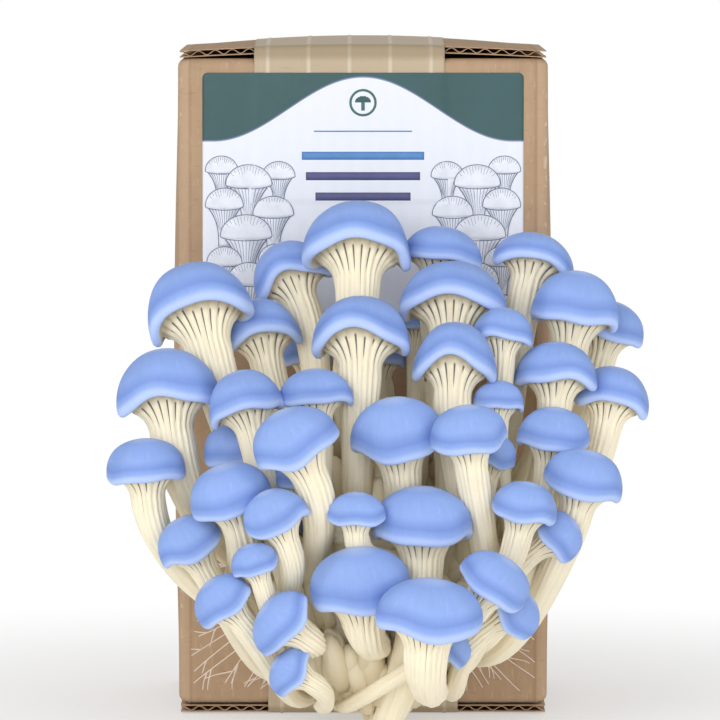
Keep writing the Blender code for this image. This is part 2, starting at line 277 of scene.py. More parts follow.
def thicken(piece: bpy.types.Object, thickness: float, offset: float = -1.0) -> None:
    """Gives an open sheet its thickness, inwards by default, and keeps the result as its mesh.

    Args:
        piece: the sheet.
        thickness: how thick it gets.
        offset: -1 to grow inwards, 0 to grow to both sides.
    """
    modifier = piece.modifiers.new("thickness", "SOLIDIFY")
    modifier.thickness = thickness
    modifier.offset = offset
    modifier.use_even_offset = True
    bake_modifiers(piece)


def bake_modifiers(piece: bpy.types.Object) -> None:
    """Replaces a piece's mesh by its modified one.

    Args:
        piece: the object with modifiers.
    """
    graph = bpy.context.evaluated_depsgraph_get()
    mesh = bpy.data.meshes.new_from_object(piece.evaluated_get(graph))
    piece.modifiers.clear()
    piece.data = mesh


# ---------------------------------------------------------------- shading


class Wires:
    """A short way to lay out the nodes of one material or group."""

    def __init__(self, tree: bpy.types.NodeTree) -> None:
        """Works in the given node tree."""
        self.tree = tree

    def feed(self, socket: Socket, value: object) -> None:
        """Links a source to an input, or sets the input's own value.

        Args:
            socket: the input.
            value: another node's output, or a plain value.
        """
        if isinstance(value, Socket):
            self.tree.links.new(value, socket)
        else:
            socket.default_value = value

    def node(self, kind: str, inputs: dict | None = None, **settings: object) -> bpy.types.Node:
        """Adds a node, sets its properties and feeds its inputs.

        Args:
            kind: the node's type.
            inputs: values or sources, by the input's name or place.
            settings: the node's properties.

        Returns:
            The node.
        """
        node = self.tree.nodes.new(kind)
        for key, value in settings.items():
            setattr(node, key, value)
        for key, value in (inputs or {}).items():
            self.feed(node.inputs[key], value)
        return node

    def maths(self, operation: str, *values: Socket | float) -> Socket:
        """One Math node's result."""
        return self.node("ShaderNodeMath", dict(enumerate(values)), operation=operation).outputs[0]

    def times(self, one: Socket | float, two: Socket | float) -> Socket:
        """A product."""
        return self.maths("MULTIPLY", one, two)

    def plus(self, one: Socket | float, two: Socket | float) -> Socket:
        """A sum."""
        return self.maths("ADD", one, two)

    def minus(self, one: Socket | float, two: Socket | float) -> Socket:
        """A difference."""
        return self.maths("SUBTRACT", one, two)

    def size(self, value: Socket | float) -> Socket:
        """A value without its sign."""
        return self.maths("ABSOLUTE", value)

    def mix(self, share: Socket | float, one: Socket | Colour, two: Socket | Colour) -> Socket:
        """A blend of two colours."""
        return self.node("ShaderNodeMix", {0: share, 6: one, 7: two}, data_type="RGBA").outputs[2]

    def stain(self, under: Socket, over: Colour, mask: Socket, where: Socket, amount: float) -> Socket:
        """A colour laid over another by a mask, in one zone only."""
        return self.mix(self.times(self.times(mask, where), amount), under, over)

    def step(self, value: Socket, low: float, high: float) -> Socket:
        """0 at low, 1 at high and a smooth ramp between."""
        inputs = {"Value": value, "From Min": low, "From Max": high}
        return self.node("ShaderNodeMapRange", inputs, interpolation_type="SMOOTHSTEP").outputs[0]

    def ramp(self, value: Socket, stops: list[tuple[float, Colour]]) -> Socket:
        """A colour read from a list of places and colours.

        Args:
            value: the place to read.
            stops: place and colour of each stop, in order.

        Returns:
            The colour there.
        """
        node = self.node("ShaderNodeValToRGB", {"Fac": value})
        elements = node.color_ramp.elements
        while len(elements) < len(stops):
            elements.new(0.5)
        for element, (place, colour) in zip(elements, stops):
            element.position = place
            element.color = colour
        return node.outputs[0]

    def noise(self, vector: Socket, scale: float, detail: float = 4.0, roughness: float = 0.5) -> Socket:
        """A grey noise value."""
        inputs = {"Vector": vector, "Scale": scale, "Detail": detail, "Roughness": roughness}
        return self.node("ShaderNodeTexNoise", inputs).outputs[0]

    def stretch(self, vector: Socket, scale: tuple[float, float, float]) -> Socket:
        """A vector scaled by axis."""
        return self.node("ShaderNodeMapping", {"Vector": vector, "Scale": scale}).outputs[0]

    def split(self, vector: Socket) -> list[Socket]:
        """The three parts of a vector."""
        return list(self.node("ShaderNodeSeparateXYZ", {"Vector": vector}).outputs)

    def bump(self, height: Socket, strength: float, distance: float) -> Socket:
        """A normal from a height."""
        inputs = {"Height": height, "Strength": strength, "Distance": distance}
        return self.node("ShaderNodeBump", inputs).outputs[0]

    def group(self, tree: bpy.types.NodeTree, inputs: dict) -> bpy.types.Node:
        """Places a node group with its own values."""
        return self.node("ShaderNodeGroup", inputs, node_tree=tree)


def new_group(name: str, inputs: list[tuple[str, str, object]], outputs: list[tuple[str, str]]
              ) -> tuple[bpy.types.NodeTree, Wires, bpy.types.Node, bpy.types.Node]:
    """An empty node group with named sockets.

    Args:
        name: the group's name.
        inputs: name, socket type and starting value of each input.
        outputs: name and socket type of each output.

    Returns:
        The tree, its Wires, its input node and its output node.
    """
    tree = bpy.data.node_groups.new(name, "ShaderNodeTree")
    for label, kind, value in inputs:
        socket = tree.interface.new_socket(label, in_out="INPUT", socket_type=kind)
        if value is not None:
            socket.default_value = value
    for label, kind in outputs:
        tree.interface.new_socket(label, in_out="OUTPUT", socket_type=kind)
    wires = Wires(tree)
    return tree, wires, wires.node("NodeGroupInput"), wires.node("NodeGroupOutput")


class Effects:
    """Node groups that several finishes share."""

    def __init__(self) -> None:
        """Builds each group once."""
        self.mottle = self._mottle()
        self.fibre = self._fibre()

    @staticmethod
    def _mottle() -> bpy.types.NodeTree:
        """Soft blotches that darken and lighten a colour at two sizes.

        Returns:
            The group.
        """
        tree, wires, given, result = new_group(
            "mottle",
            [("Vector", "NodeSocketVector", None), ("Colour", "NodeSocketColor", (0.5, 0.5, 0.5, 1)),
             ("Scale", "NodeSocketFloat", 20.0), ("Amount", "NodeSocketFloat", 0.1)],
            [("Colour", "NodeSocketColor"), ("Value", "NodeSocketFloat")])
        inputs = {"Vector": given.outputs["Vector"], "Scale": given.outputs["Scale"], "Detail": 5.0}
        coarse = wires.node("ShaderNodeTexNoise", inputs).outputs[0]
        finer = {"Vector": given.outputs["Vector"], "Detail": 3.0,
                 "Scale": wires.times(given.outputs["Scale"], 7.3)}
        fine = wires.node("ShaderNodeTexNoise", finer).outputs[0]
        value = wires.plus(wires.times(coarse, 0.65), wires.times(fine, 0.35))
        shift = wires.times(wires.minus(value, 0.5), given.outputs["Amount"])
        bright = wires.maths("MULTIPLY_ADD", shift, 4.0, 1.0)
        scaled = wires.node("ShaderNodeVectorMath", {0: given.outputs["Colour"]}, operation="SCALE")
        tree.links.new(bright, scaled.inputs["Scale"])
        tree.links.new(scaled.outputs[0], result.inputs["Colour"])
        tree.links.new(value, result.inputs["Value"])
        return tree

    @staticmethod
    def _fibre() -> bpy.types.NodeTree:
        """Short pulp fibres: thin streaks that run mostly along one axis.

        Returns:
            The group.
        """
        tree, wires, given, result = new_group(
            "pulp_fibre",
            [("Vector", "NodeSocketVector", None), ("Scale", "NodeSocketFloat", 900.0)],
            [("Light", "NodeSocketFloat"), ("Dark", "NodeSocketFloat"), ("Height", "NodeSocketFloat")])
        along = wires.stretch(given.outputs["Vector"], (1.0, 1.0, 0.16))
        across = wires.stretch(given.outputs["Vector"], (0.2, 0.2, 1.0))
        streaks = []
        for vector in (along, across):
            inputs = {"Vector": vector, "Scale": given.outputs["Scale"], "Detail": 2.0, "Distortion": 0.6}
            streaks.append(wires.node("ShaderNodeTexNoise", inputs).outputs[0])
        light = wires.step(streaks[0], 0.60, 0.74)
        dark = wires.step(streaks[1], 0.62, 0.76)
        height = wires.plus(streaks[0], streaks[1])
        for socket, name in ((light, "Light"), (dark, "Dark"), (height, "Height")):
            tree.links.new(socket, result.inputs[name])
        return tree


def new_material(name: str) -> tuple[Material, Wires, bpy.types.Node]:
    """A material with a Principled shader, its Wires and the shader.

    Args:
        name: the material's name.

    Returns:
        The material, its Wires and its shader.
    """
    material = bpy.data.materials.new(name)
    material.use_nodes = True
    tree = material.node_tree
    return material, Wires(tree), tree.nodes["Principled BSDF"]


def connect(wires: Wires, shader: bpy.types.Node, **sockets: object) -> None:
    """Feeds the shader's sockets, named with underscores."""
    for key, value in sockets.items():
        wires.feed(shader.inputs[key.replace("_", " ")], value)


def object_place(wires: Wires) -> Socket:
    """Object coordinates, in metres."""
    return wires.node("ShaderNodeTexCoord").outputs["Object"]


def mottled(wires: Wires, effects: Effects, colour: Socket | Colour, scale: float,
            amount: float) -> bpy.types.Node:
    """The shared blotches over a colour, placed by Object coordinates."""
    inputs = {"Vector": object_place(wires), "Colour": colour, "Scale": scale, "Amount": amount}
    return wires.group(effects.mottle, inputs)


@dataclass(frozen=True)
class PaperFinish:
    """Kraft, tape or label stock: a pulp colour with fibres, blotches and faint flutes."""

    name: str
    colour: Colour
    fibre_light: Colour
    fibre_dark: Colour
    roughness: float
    mottle: float = 0.10
    fibre_share: float = 0.35
    flute_pitch: float = 0.0
    bump: float = 0.25
    fold: float = 0.0
    side: float = 68 * MM
    front: float = 55 * MM

    def build(self, effects: Effects) -> tuple[Material, Wires, bpy.types.Node, Socket]:
        """Makes the material and returns it with the colour that a print can go over.

        Args:
            effects: the shared node groups.

        Returns:
            The material, its Wires, its shader and the colour that a print can go over.
        """
        material, wires, shader = new_material(self.name)
        place = object_place(wires)
        blotch = mottled(wires, effects, self.colour, 28.0, self.mottle)
        fibre = wires.group(effects.fibre, {"Vector": place, "Scale": 1100.0})
        light = wires.times(fibre.outputs["Light"], self.fibre_share)
        dark = wires.times(fibre.outputs["Dark"], self.fibre_share)
        colour = wires.mix(light, blotch.outputs["Colour"], self.fibre_light)
        colour = wires.mix(dark, colour, self.fibre_dark)
        height = fibre.outputs["Height"]
        if self.flute_pitch:
            across = wires.split(place)[0]
            wave = wires.maths("SINE", wires.times(across, 2 * math.pi / self.flute_pitch))
            shade = wires.maths("MULTIPLY_ADD", wave, 0.5, 0.5)
            colour = wires.mix(wires.times(shade, 0.07), colour, self.fibre_dark)
            height = wires.plus(height, wires.times(wave, 0.9))
        if self.fold:
            colour = self.handled(wires, place, colour)
        rough = wires.maths("MULTIPLY_ADD", blotch.outputs["Value"], 0.2, self.roughness - 0.1)
        connect(wires, shader, Base_Color=colour, Roughness=rough, Specular_IOR_Level=0.25,
                Normal=wires.bump(height, self.bump, 0.0002))
        return material, wires, shader, colour

    def handled(self, wires: Wires, place: Socket, colour: Socket) -> Socket:
        """Crushed strips along the upright folds, and pale scuffs on the corners.

        Args:
            wires: the material's node tree.
            place: Object coordinates.
            colour: colour of the board so far.

        Returns:
            The board's colour with its folds and scuffs.
        """
        x, y, _ = (wires.size(part) for part in wires.split(place))
        strip = wires.times(wires.step(x, self.fold, self.fold + 0.8 * MM),
                            wires.step(x, self.side + 0.2 * MM, self.side - 0.5 * MM))
        crease = wires.step(wires.size(wires.minus(x, self.fold)), 0.9 * MM, 0.2 * MM)
        corner = wires.times(wires.step(x, self.side - 2.0 * MM, self.side - 0.4 * MM),
                             wires.step(y, self.front - 2.4 * MM, self.front - 0.8 * MM))
        rubbed = wires.times(corner, wires.step(wires.noise(place, 95.0, 5.0, 0.7), 0.55, 0.64))
        colour = wires.mix(wires.times(strip, 0.30), colour, self.fibre_light)
        colour = wires.mix(wires.times(crease, 0.30), colour, self.fibre_dark)
        return wires.mix(wires.times(rubbed, 0.65), colour, srgb(226, 214, 198))


@dataclass(frozen=True)
class LabelFinish:
    """Coated label: pale stock with a dark green band over a bell-shaped wave."""

    stock: Colour = srgb(224, 227, 235)
    band: Colour = srgb(54, 86, 88)
    line: Colour = srgb(96, 110, 152)
    peak: float = 235.5 * MM
    drop: float = 23.5 * MM
    half_bell: float = 55 * MM
    line_width: float = 0.38 * MM
    flute_pitch: float = 6.2 * MM

    def build(self, effects: Effects) -> Material:
        """Makes the material: the wave is a raised cosine of X.

        Args:
            effects: the shared node groups.

        Returns:
            The material.
        """
        paper = PaperFinish("label_stock", self.stock, srgb(240, 241, 246), srgb(205, 209, 220), 0.42,
                            mottle=0.02, fibre_share=0.10, flute_pitch=self.flute_pitch, bump=0.06)
        material, wires, shader, colour = paper.build(effects)
        x, _, z = wires.split(object_place(wires))
        reach = wires.maths("MINIMUM", wires.size(x), self.half_bell)
        bell = wires.maths("COSINE", wires.times(reach, math.pi / self.half_bell))
        level = wires.maths("MULTIPLY_ADD", bell, self.drop / 2, self.peak - self.drop / 2)
        above = wires.minus(z, level)
        printed = wires.step(above, -0.05 * MM, 0.10 * MM)
        edge = wires.step(wires.size(above), self.line_width, self.line_width * 0.7)
        grain = mottled(wires, effects, self.band, 60.0, 0.10)
        colour = wires.mix(printed, colour, grain.outputs["Colour"])
        colour = wires.mix(wires.times(edge, 0.8), colour, self.line)
        connect(wires, shader, Base_Color=colour, Coat_Weight=0.15, Coat_Roughness=0.3)
        return material


@dataclass(frozen=True)
class TapeFinish:
    """Gummed paper with reinforcing threads, with painted shade where it is rolled over the carton's edges.
    """

    paper: Colour = srgb(182, 165, 140)
    thread: Colour = srgb(214, 202, 182)
    # Painted shade: a darker colour laid on the tape where it rolls over the carton's front edges.
    rolled: Colour = srgb(134, 116, 90)
    pitch: float = 15 * MM
    top_edge: float = 245 * MM
    front: float = -55 * MM

    def build(self, effects: Effects) -> Material:
        """Makes the material.

        Args:
            effects: the shared node groups.

        Returns:
            The material: threads by U, which is the place across the strip in metres.
        """
        stock = PaperFinish("gummed_paper", self.paper, srgb(202, 188, 166), srgb(158, 140, 114), 0.55,
                            mottle=0.05, fibre_share=0.25)
        material, wires, shader, colour = stock.build(effects)
        across = wires.split(wires.node("ShaderNodeUVMap", uv_map="UVMap").outputs[0])[0]
        turns = wires.maths("MULTIPLY_ADD", across, 1 / self.pitch, 0.5)
        away = wires.size(wires.minus(wires.maths("FRACT", turns), 0.5))
        thread = wires.times(wires.step(away, 0.070, 0.020), 0.55)
        _, y, z = wires.split(object_place(wires))
        # Painted shade along the tape's rolled-over front edges, top and bottom.
        high = wires.step(z, self.top_edge - 4.5 * MM, self.top_edge - 1.0 * MM)
        low = wires.step(z, 3.6 * MM, 1.8 * MM)
        edge = wires.times(wires.plus(high, low),
                           wires.step(y, self.front + 5 * MM, self.front + 2 * MM))
        colour = wires.mix(thread, colour, self.thread)
        colour = wires.mix(wires.times(edge, 0.55), colour, self.rolled)
        connect(wires, shader, Base_Color=colour)
        return material


@dataclass(frozen=True)
class InkFinish:
    """A flat print colour with slight wear."""

    name: str
    colour: Colour
    roughness: float = 0.6

    def build(self, effects: Effects) -> Material:
        """Makes the material.

        Args:
            effects: the shared node groups.

        Returns:
            The material.
        """
        material, wires, shader = new_material(self.name)
        wear = mottled(wires, effects, self.colour, 220.0, 0.12)
        connect(wires, shader, Base_Color=wear.outputs["Colour"], Roughness=self.roughness)
        return material


@dataclass(frozen=True)
class MushroomFinish:
    """Flesh of one mushroom, told apart by V: cap skin, pale rim, gills and stem; U counts the gills."""

    cap: Colour = srgb(138, 166, 224)
    # The darker cap colour is painted shade in a band just above the rim, and also random dark streaks and
    # fibrils over the cap.
    cap_shade_and_dark_streaks: Colour = srgb(116, 144, 208)
    # The paler cap colour is a painted highlight on the top of the cap, and also random pale streaks.
    cap_highlight_and_pale_streaks: Colour = srgb(186, 204, 243)
    rim: Colour = srgb(178, 198, 240)
    gill: Colour = srgb(240, 229, 200)
    gill_shade: Colour = srgb(184, 172, 144)
    gill_gap_shade: Colour = srgb(52, 56, 76)
    stem: Colour = srgb(244, 234, 208)
    stem_shade: Colour = srgb(218, 204, 172)

    def build(self, effects: Effects) -> Material:
        """Makes the material.

        Args:
            effects: the shared node groups.

        Returns:
            The material: zones by V, painted shade in the gaps between gills by U, streaks and blotches over
                both.
        """
        material, wires, shader = new_material("mushroom_flesh")
        uv = wires.node("ShaderNodeUVMap", uv_map="UVMap").outputs[0]
        u, v, _ = wires.split(uv)
        on_cap, on_stem = wires.step(v, 0.50, 0.46), wires.step(v, 0.66, 0.78)
        streak = wires.noise(wires.stretch(uv, (1.7, 3.0, 1.0)), 1.6, 5.0, 0.6)
        fibril = wires.noise(wires.stretch(uv, (9.0, 2.4, 1.0)), 1.0, 4.0, 0.65)
        fibre = wires.noise(wires.stretch(uv, (2.2, 7.0, 1.0)), 2.0, 4.0)
        # Painted light in the zones: the paler pole is a painted highlight on the top of the cap, the darker
        # band just above the rolled rim is painted shade, and the tan ring just inside the rim is painted
        # shade under the cap.
        colour = wires.ramp(v, [
            (0.0, self.cap_highlight_and_pale_streaks), (0.13, self.cap), (0.34, self.cap), (0.43, self.cap_shade_and_dark_streaks),
            (0.475, self.cap), (0.505, self.rim), (0.535, self.rim), (0.556, self.gill_shade),
            (0.595, self.gill_shade), (0.635, self.gill), (0.78, self.stem), (0.93, self.stem),
            (1.0, self.stem_shade)])
        colour = wires.stain(colour, self.cap_highlight_and_pale_streaks, wires.step(streak, 0.55, 0.78), on_cap, 0.22)
        colour = wires.stain(colour, self.cap_shade_and_dark_streaks, wires.step(streak, 0.48, 0.26), on_cap, 0.22)
        colour = mottled(wires, effects, colour, 18.0, 0.08).outputs["Colour"]
        colour = wires.stain(colour, self.stem_shade, wires.step(fibre, 0.54, 0.72), on_stem, 0.55)
        # Painted shade in the gaps between the gills.
        colour = wires.mix(wires.times(self.gill_gap_shade_mask(wires, u, v), 0.86), colour, self.gill_gap_shade)
        colour = wires.stain(colour, self.cap_shade_and_dark_streaks, wires.step(fibril, 0.50, 0.30), on_cap, 0.30)
        pores = wires.noise(object_place(wires), 1400.0, 3.0)
        grain = wires.plus(wires.times(streak, 0.6), wires.times(pores, 0.35))
        height = wires.plus(grain, wires.plus(wires.times(fibril, on_cap), wires.times(fibre, on_stem)))
        rough = wires.maths("MULTIPLY_ADD", on_cap, -0.14, 0.62)
        rough = wires.plus(rough, wires.times(wires.minus(streak, 0.5), 0.2))
        connect(wires, shader, Base_Color=colour, Roughness=rough, Specular_IOR_Level=0.35,
                Subsurface_Weight=0.10, Subsurface_Radius=(0.004, 0.003, 0.002), Subsurface_Scale=0.5,
                Normal=wires.bump(height, 0.30, 0.0004))
        return material

    @staticmethod
    def gill_gap_shade_mask(wires: Wires, u: Socket, v: Socket) -> Socket:
        """Painted shade in the gaps between the gills, each with its own start and end.

        Args:
            wires: the material's node tree.
            u: gill count round the mushroom, a whole number in the middle of a gap.
            v: place from the cap's pole to the root.

        Returns:
            1 in a gap and 0 elsewhere.
        """
        gap = wires.maths("ROUND", u)
        own = wires.node("ShaderNodeTexWhiteNoise", {"W": gap}, noise_dimensions="1D")
        number = wires.plus(gap, 0.5)
        other = wires.node("ShaderNodeTexWhiteNoise", {"W": number}, noise_dimensions="1D")
        away = wires.size(wires.minus(u, gap))
        start = wires.maths("MULTIPLY_ADD", other.outputs[0], 0.03, 0.592)
        end = wires.maths("MULTIPLY_ADD", own.outputs[0], 0.13, 0.645)
        half = wires.times(wires.step(v, 0.86, 0.56), 0.125)
        inside = wires.step(wires.minus(away, half), 0.03, -0.03)
        started = wires.step(wires.minus(v, start), 0.0, 0.012)
        ended = wires.step(wires.minus(v, end), 0.02, -0.02)
        return wires.times(inside, wires.times(started, ended))


@dataclass(frozen=True)
class BaseFinish:
    """Fused flesh at the root of the cluster: cream with a downy, bluish-grey bloom."""

    cream: Colour = srgb(226, 213, 182)
    deep: Colour = srgb(206, 191, 158)
    bloom: Colour = srgb(216, 214, 208)

    def build(self, effects: Effects) -> Material:
        """Makes the material.

        Args:
            effects: the shared node groups.

        Returns:
            The material.
        """
        material, wires, shader = new_material("fused_flesh")
        place = object_place(wires)
        lumps = wires.noise(place, 90.0, 6.0, 0.6)
        colour = wires.mix(wires.step(lumps, 0.56, 0.36), self.cream, self.deep)
        colour = wires.mix(wires.times(wires.step(lumps, 0.52, 0.70), 0.45), colour, self.bloom)
        tone = mottled(wires, effects, colour, 60.0, 0.10)
        connect(wires, shader, Base_Color=tone.outputs["Colour"], Roughness=0.75, Subsurface_Weight=0.1,
                Subsurface_Radius=(0.004, 0.003, 0.002), Subsurface_Scale=0.5,
                Normal=wires.bump(lumps, 0.5, 0.0015))
        return material


@dataclass(frozen=True)
class SubstrateFinish:
    """Colonised block: white mycelium over brown sawdust and straw."""

    mycelium: Colour = srgb(236, 230, 216)
    sawdust: Colour = srgb(142, 110, 76)

    def build(self, effects: Effects) -> Material:
        """Makes the material.

        Args:
            effects: the shared node groups.

        Returns:
            The material.
        """
        material, wires, shader = new_material("colonised_block")
        place = object_place(wires)
        chips = wires.node("ShaderNodeTexVoronoi", {"Vector": place, "Scale": 260.0}).outputs["Distance"]
        cover = wires.noise(place, 70.0, 6.0, 0.62)
        colour = wires.mix(wires.step(cover, 0.44, 0.56), self.sawdust, self.mycelium)
        tone = mottled(wires, effects, colour, 120.0, 0.2)
        height = wires.plus(chips, cover)
        connect(wires, shader, Base_Color=tone.outputs["Colour"], Roughness=0.9,
                Normal=wires.bump(height, 0.6, 0.001))
        return material


@dataclass(frozen=True)
class FilmFinish:
    """Milky polythene of the bag."""

    colour: Colour = srgb(222, 222, 218)

    def build(self, effects: Effects) -> Material:
        """Makes the material.

        Args:
            effects: the shared node groups.

        Returns:
            The material.
        """
        material, wires, shader = new_material("milky_film")
        place = object_place(wires)
        folds = wires.noise(wires.stretch(place, (1.0, 1.0, 0.35)), 45.0, 3.0)
        tone = mottled(wires, effects, self.colour, 30.0, 0.05)
        connect(wires, shader, Base_Color=tone.outputs["Colour"], Roughness=0.28, Coat_Weight=0.3,
                Normal=wires.bump(folds, 0.5, 0.0015))
        return material


# ---------------------------------------------------------------- carton


@dataclass
class Carton:
    """Folded corrugated carton: walls with the window, and a closed flap at each end."""

    half_width: float = 68 * MM
    half_depth: float = 55 * MM
    floor: float = 0.6 * MM
    wall_low: float = 4.0 * MM
    wall_high: float = 242.2 * MM
    board: float = 2.6 * MM
    fold_radius: float = 3.0 * MM
    corner_radius: float = 3.4 * MM
    side_bulge: float = 3.0 * MM
    crown: float = 4.3 * MM
    flap_top: float = 245.0 * MM
    flap_back_step: float = 1.2 * MM
    liner: float = 0.35 * MM
    flute_pitch: float = 6.2 * MM
    flute_depth: float = 9.0 * MM
    window_width: float = 76 * MM
    window_height: float = 84 * MM
    window_middle: float = 71 * MM
    window_radius: float = 18 * MM

    def outline(self) -> Array:
        """Rounded rectangle round the walls, anticlockwise from above, as (n, 2) places.

        Returns:
            X and Y of each point.
        """
        arcs = corner_arcs(self.half_width, self.half_depth, self.corner_radius, 9)
        loop = []
        for arc, following in zip(arcs, arcs[1:] + arcs[:1]):
            loop += [arc, arc[-1] + (following[0] - arc[-1]) * np.linspace(0, 1, 22)[1:-1, None]]
        return np.concatenate(loop)

    def build_walls(self, material: Material) -> None:
        """Walls: the outline carried up the height, turned in at both folds and bulged at the sides.

        Args:
            material: finish of the board.
        """
        loop = self.outline()
        turn = np.linspace(0, math.pi / 2, 6)
        low_z = self.wall_low + self.fold_radius * (1 - np.sin(turn[::-1]))
        low_inset = self.fold_radius * (1 - np.cos(turn[::-1]))
        middle = np.linspace(self.wall_low + self.fold_radius, self.wall_high - self.fold_radius, 44)[1:-1]
        high_z = self.wall_low + self.wall_high - low_z[::-1]
        heights = np.concatenate([[self.wall_low], low_z, middle, high_z, [self.wall_high]])
        ledge = self.fold_radius + 7 * MM
        insets = np.concatenate([[ledge], low_inset, np.zeros(len(middle)), low_inset[::-1], [ledge]])
        shrink_x = 1 - insets / self.half_width
        shrink_y = 1 - insets / self.half_depth
        x = loop[None, :, 0] * shrink_x[:, None]
        y = loop[None, :, 1] * shrink_y[:, None]
        share = (heights - self.wall_low) / (self.wall_high - self.wall_low)
        along = (1 - (2 * share - 1) ** 2)[:, None]
        across = np.clip(1 - (y / self.half_depth) ** 2, 0, 1)
        x = x * (1 + self.side_bulge / self.half_width * across * along)
        z = np.broadcast_to(heights[:, None], x.shape)
        around = np.linspace(0, 1, len(loop) + 1)
        walls = sheet_piece("carton_walls", np.stack([x, y, z], axis=-1), heights, around, wrap=True)
        thicken(walls, self.board)
        self.cut_window(walls)
        finish_piece(walls, Slot.KRAFT, material, "carton")

    def cut_window(self, walls: bpy.types.Object) -> None:
        """Takes a round-cornered window out of the front wall.

        Args:
            walls: the carton's walls.
        """
        arcs = corner_arcs(self.window_width / 2, self.window_height / 2, self.window_radius, 13)
        edge = np.concatenate(arcs) + [0.0, self.window_middle]
        front, back = -self.half_depth - 4 * MM, -self.half_depth + 6 * MM
        rings = np.stack([np.stack([edge[:, 0], np.full(len(edge), y), edge[:, 1]], -1)
                          for y in (back, front)])
        cutter = sheet_piece("window_cutter", rings, np.array([0.0, 1.0]), np.linspace(0, 1, len(edge) + 1),
                             wrap=True, first_pole=rings[0].mean(axis=0), last_pole=rings[1].mean(axis=0))
        modifier = walls.modifiers.new("window", "BOOLEAN")
        modifier.operation = "DIFFERENCE"
        modifier.object = cutter
        bake_modifiers(walls)
        bpy.data.objects.remove(cutter)

    def flap_height(self, x: Array, y: Array, top: bool) -> Array:
        """Outer face of a flap: crowned on top, flat underneath.

        Args:
            x: places across.
            y: places from front to back.
            top: whether it is the top flap.

        Returns:
            Z at each place.
        """
        if not top:
            return np.full(np.broadcast(x, y).shape, self.floor)
        across = 1 - (x / self.half_width) ** 2
        ahead = 0.45 + 0.55 * np.sin(np.clip((y + self.half_depth) / (2 * self.half_depth), 0, 1) * math.pi)
        return self.flap_top + self.crown * across * ahead

    def build_flap(self, name: str, top: bool, material: Material) -> None:
        """A closed outer flap: two liners with the fluted medium showing along the raw front edge.

        Args:
            name: the piece's name.
            top: whether it is the top flap.
            material: finish of the board.
        """
        sign = -1.0 if top else 1.0
        reach_x = self.half_width - 0.6 * MM
        front = -self.half_depth + self.flap_back_step
        back_bend = self.half_depth - self.fold_radius
        columns = np.linspace(-reach_x, reach_x, 61)
        flat_y = np.linspace(front, back_bend, 40)
        turn = np.linspace(0, math.pi / 2, 8)[1:]
        bend_y = back_bend + self.fold_radius * np.sin(turn)
        bend_drop = self.fold_radius * (1 - np.cos(turn))
        path_y = np.concatenate([flat_y, bend_y])
        drop = np.concatenate([np.zeros(len(flat_y)), bend_drop])
        x, y = np.meshgrid(columns, path_y)
        skin = Skin()
        for inset in (0.0, self.board - self.liner):
            squeeze = 1 - inset / self.half_depth * smooth(path_y, back_bend - 1 * MM, self.half_depth)
            z = self.flap_height(x, y, top) + sign * (drop[:, None] + inset)
            grid = np.stack([x, y * squeeze[:, None], z], axis=-1)
            skin.add_grid(grid if top else grid[::-1], path_y, columns)
        flap = skin.build(name)
        thicken(flap, self.liner)
        medium = self.build_medium(name + "_flutes", top)
        finish_piece(flap, Slot.KRAFT, material)
        finish_piece(medium, Slot.KRAFT, material)

    def build_medium(self, name: str, top: bool) -> bpy.types.Object:
        """The wavy medium between the liners: height is a sine of X.

        Args:
            name: the piece's name.
            top: whether it is the top flap.

        Returns:
            The piece.
        """
        sign = -1.0 if top else 1.0
        reach_x = self.half_width - 0.8 * MM
        front = -self.half_depth + self.flap_back_step + 0.2 * MM
        columns = np.linspace(-reach_x, reach_x, 441)
        path_y = np.linspace(front, front + self.flute_depth, 4)
        x, y = np.meshgrid(columns, path_y)
        swing = (self.board - 2 * self.liner - 0.35 * MM) / 2
        wave = swing * np.sin(2 * math.pi * x / self.flute_pitch)
        z = self.flap_height(x, y, top) + sign * self.board / 2 + wave
        medium = sheet_piece(name, np.stack([x, y, z], axis=-1), path_y, columns)
        thicken(medium, 0.25 * MM, 0.0)
        return medium

    def build(self, material: Material) -> None:
        """Builds walls and flaps.

        Args:
            material: finish of the board.
        """
        self.build_walls(material)
        self.build_flap("carton_top_flap", True, material)
        self.build_flap("carton_bottom_flap", False, material)


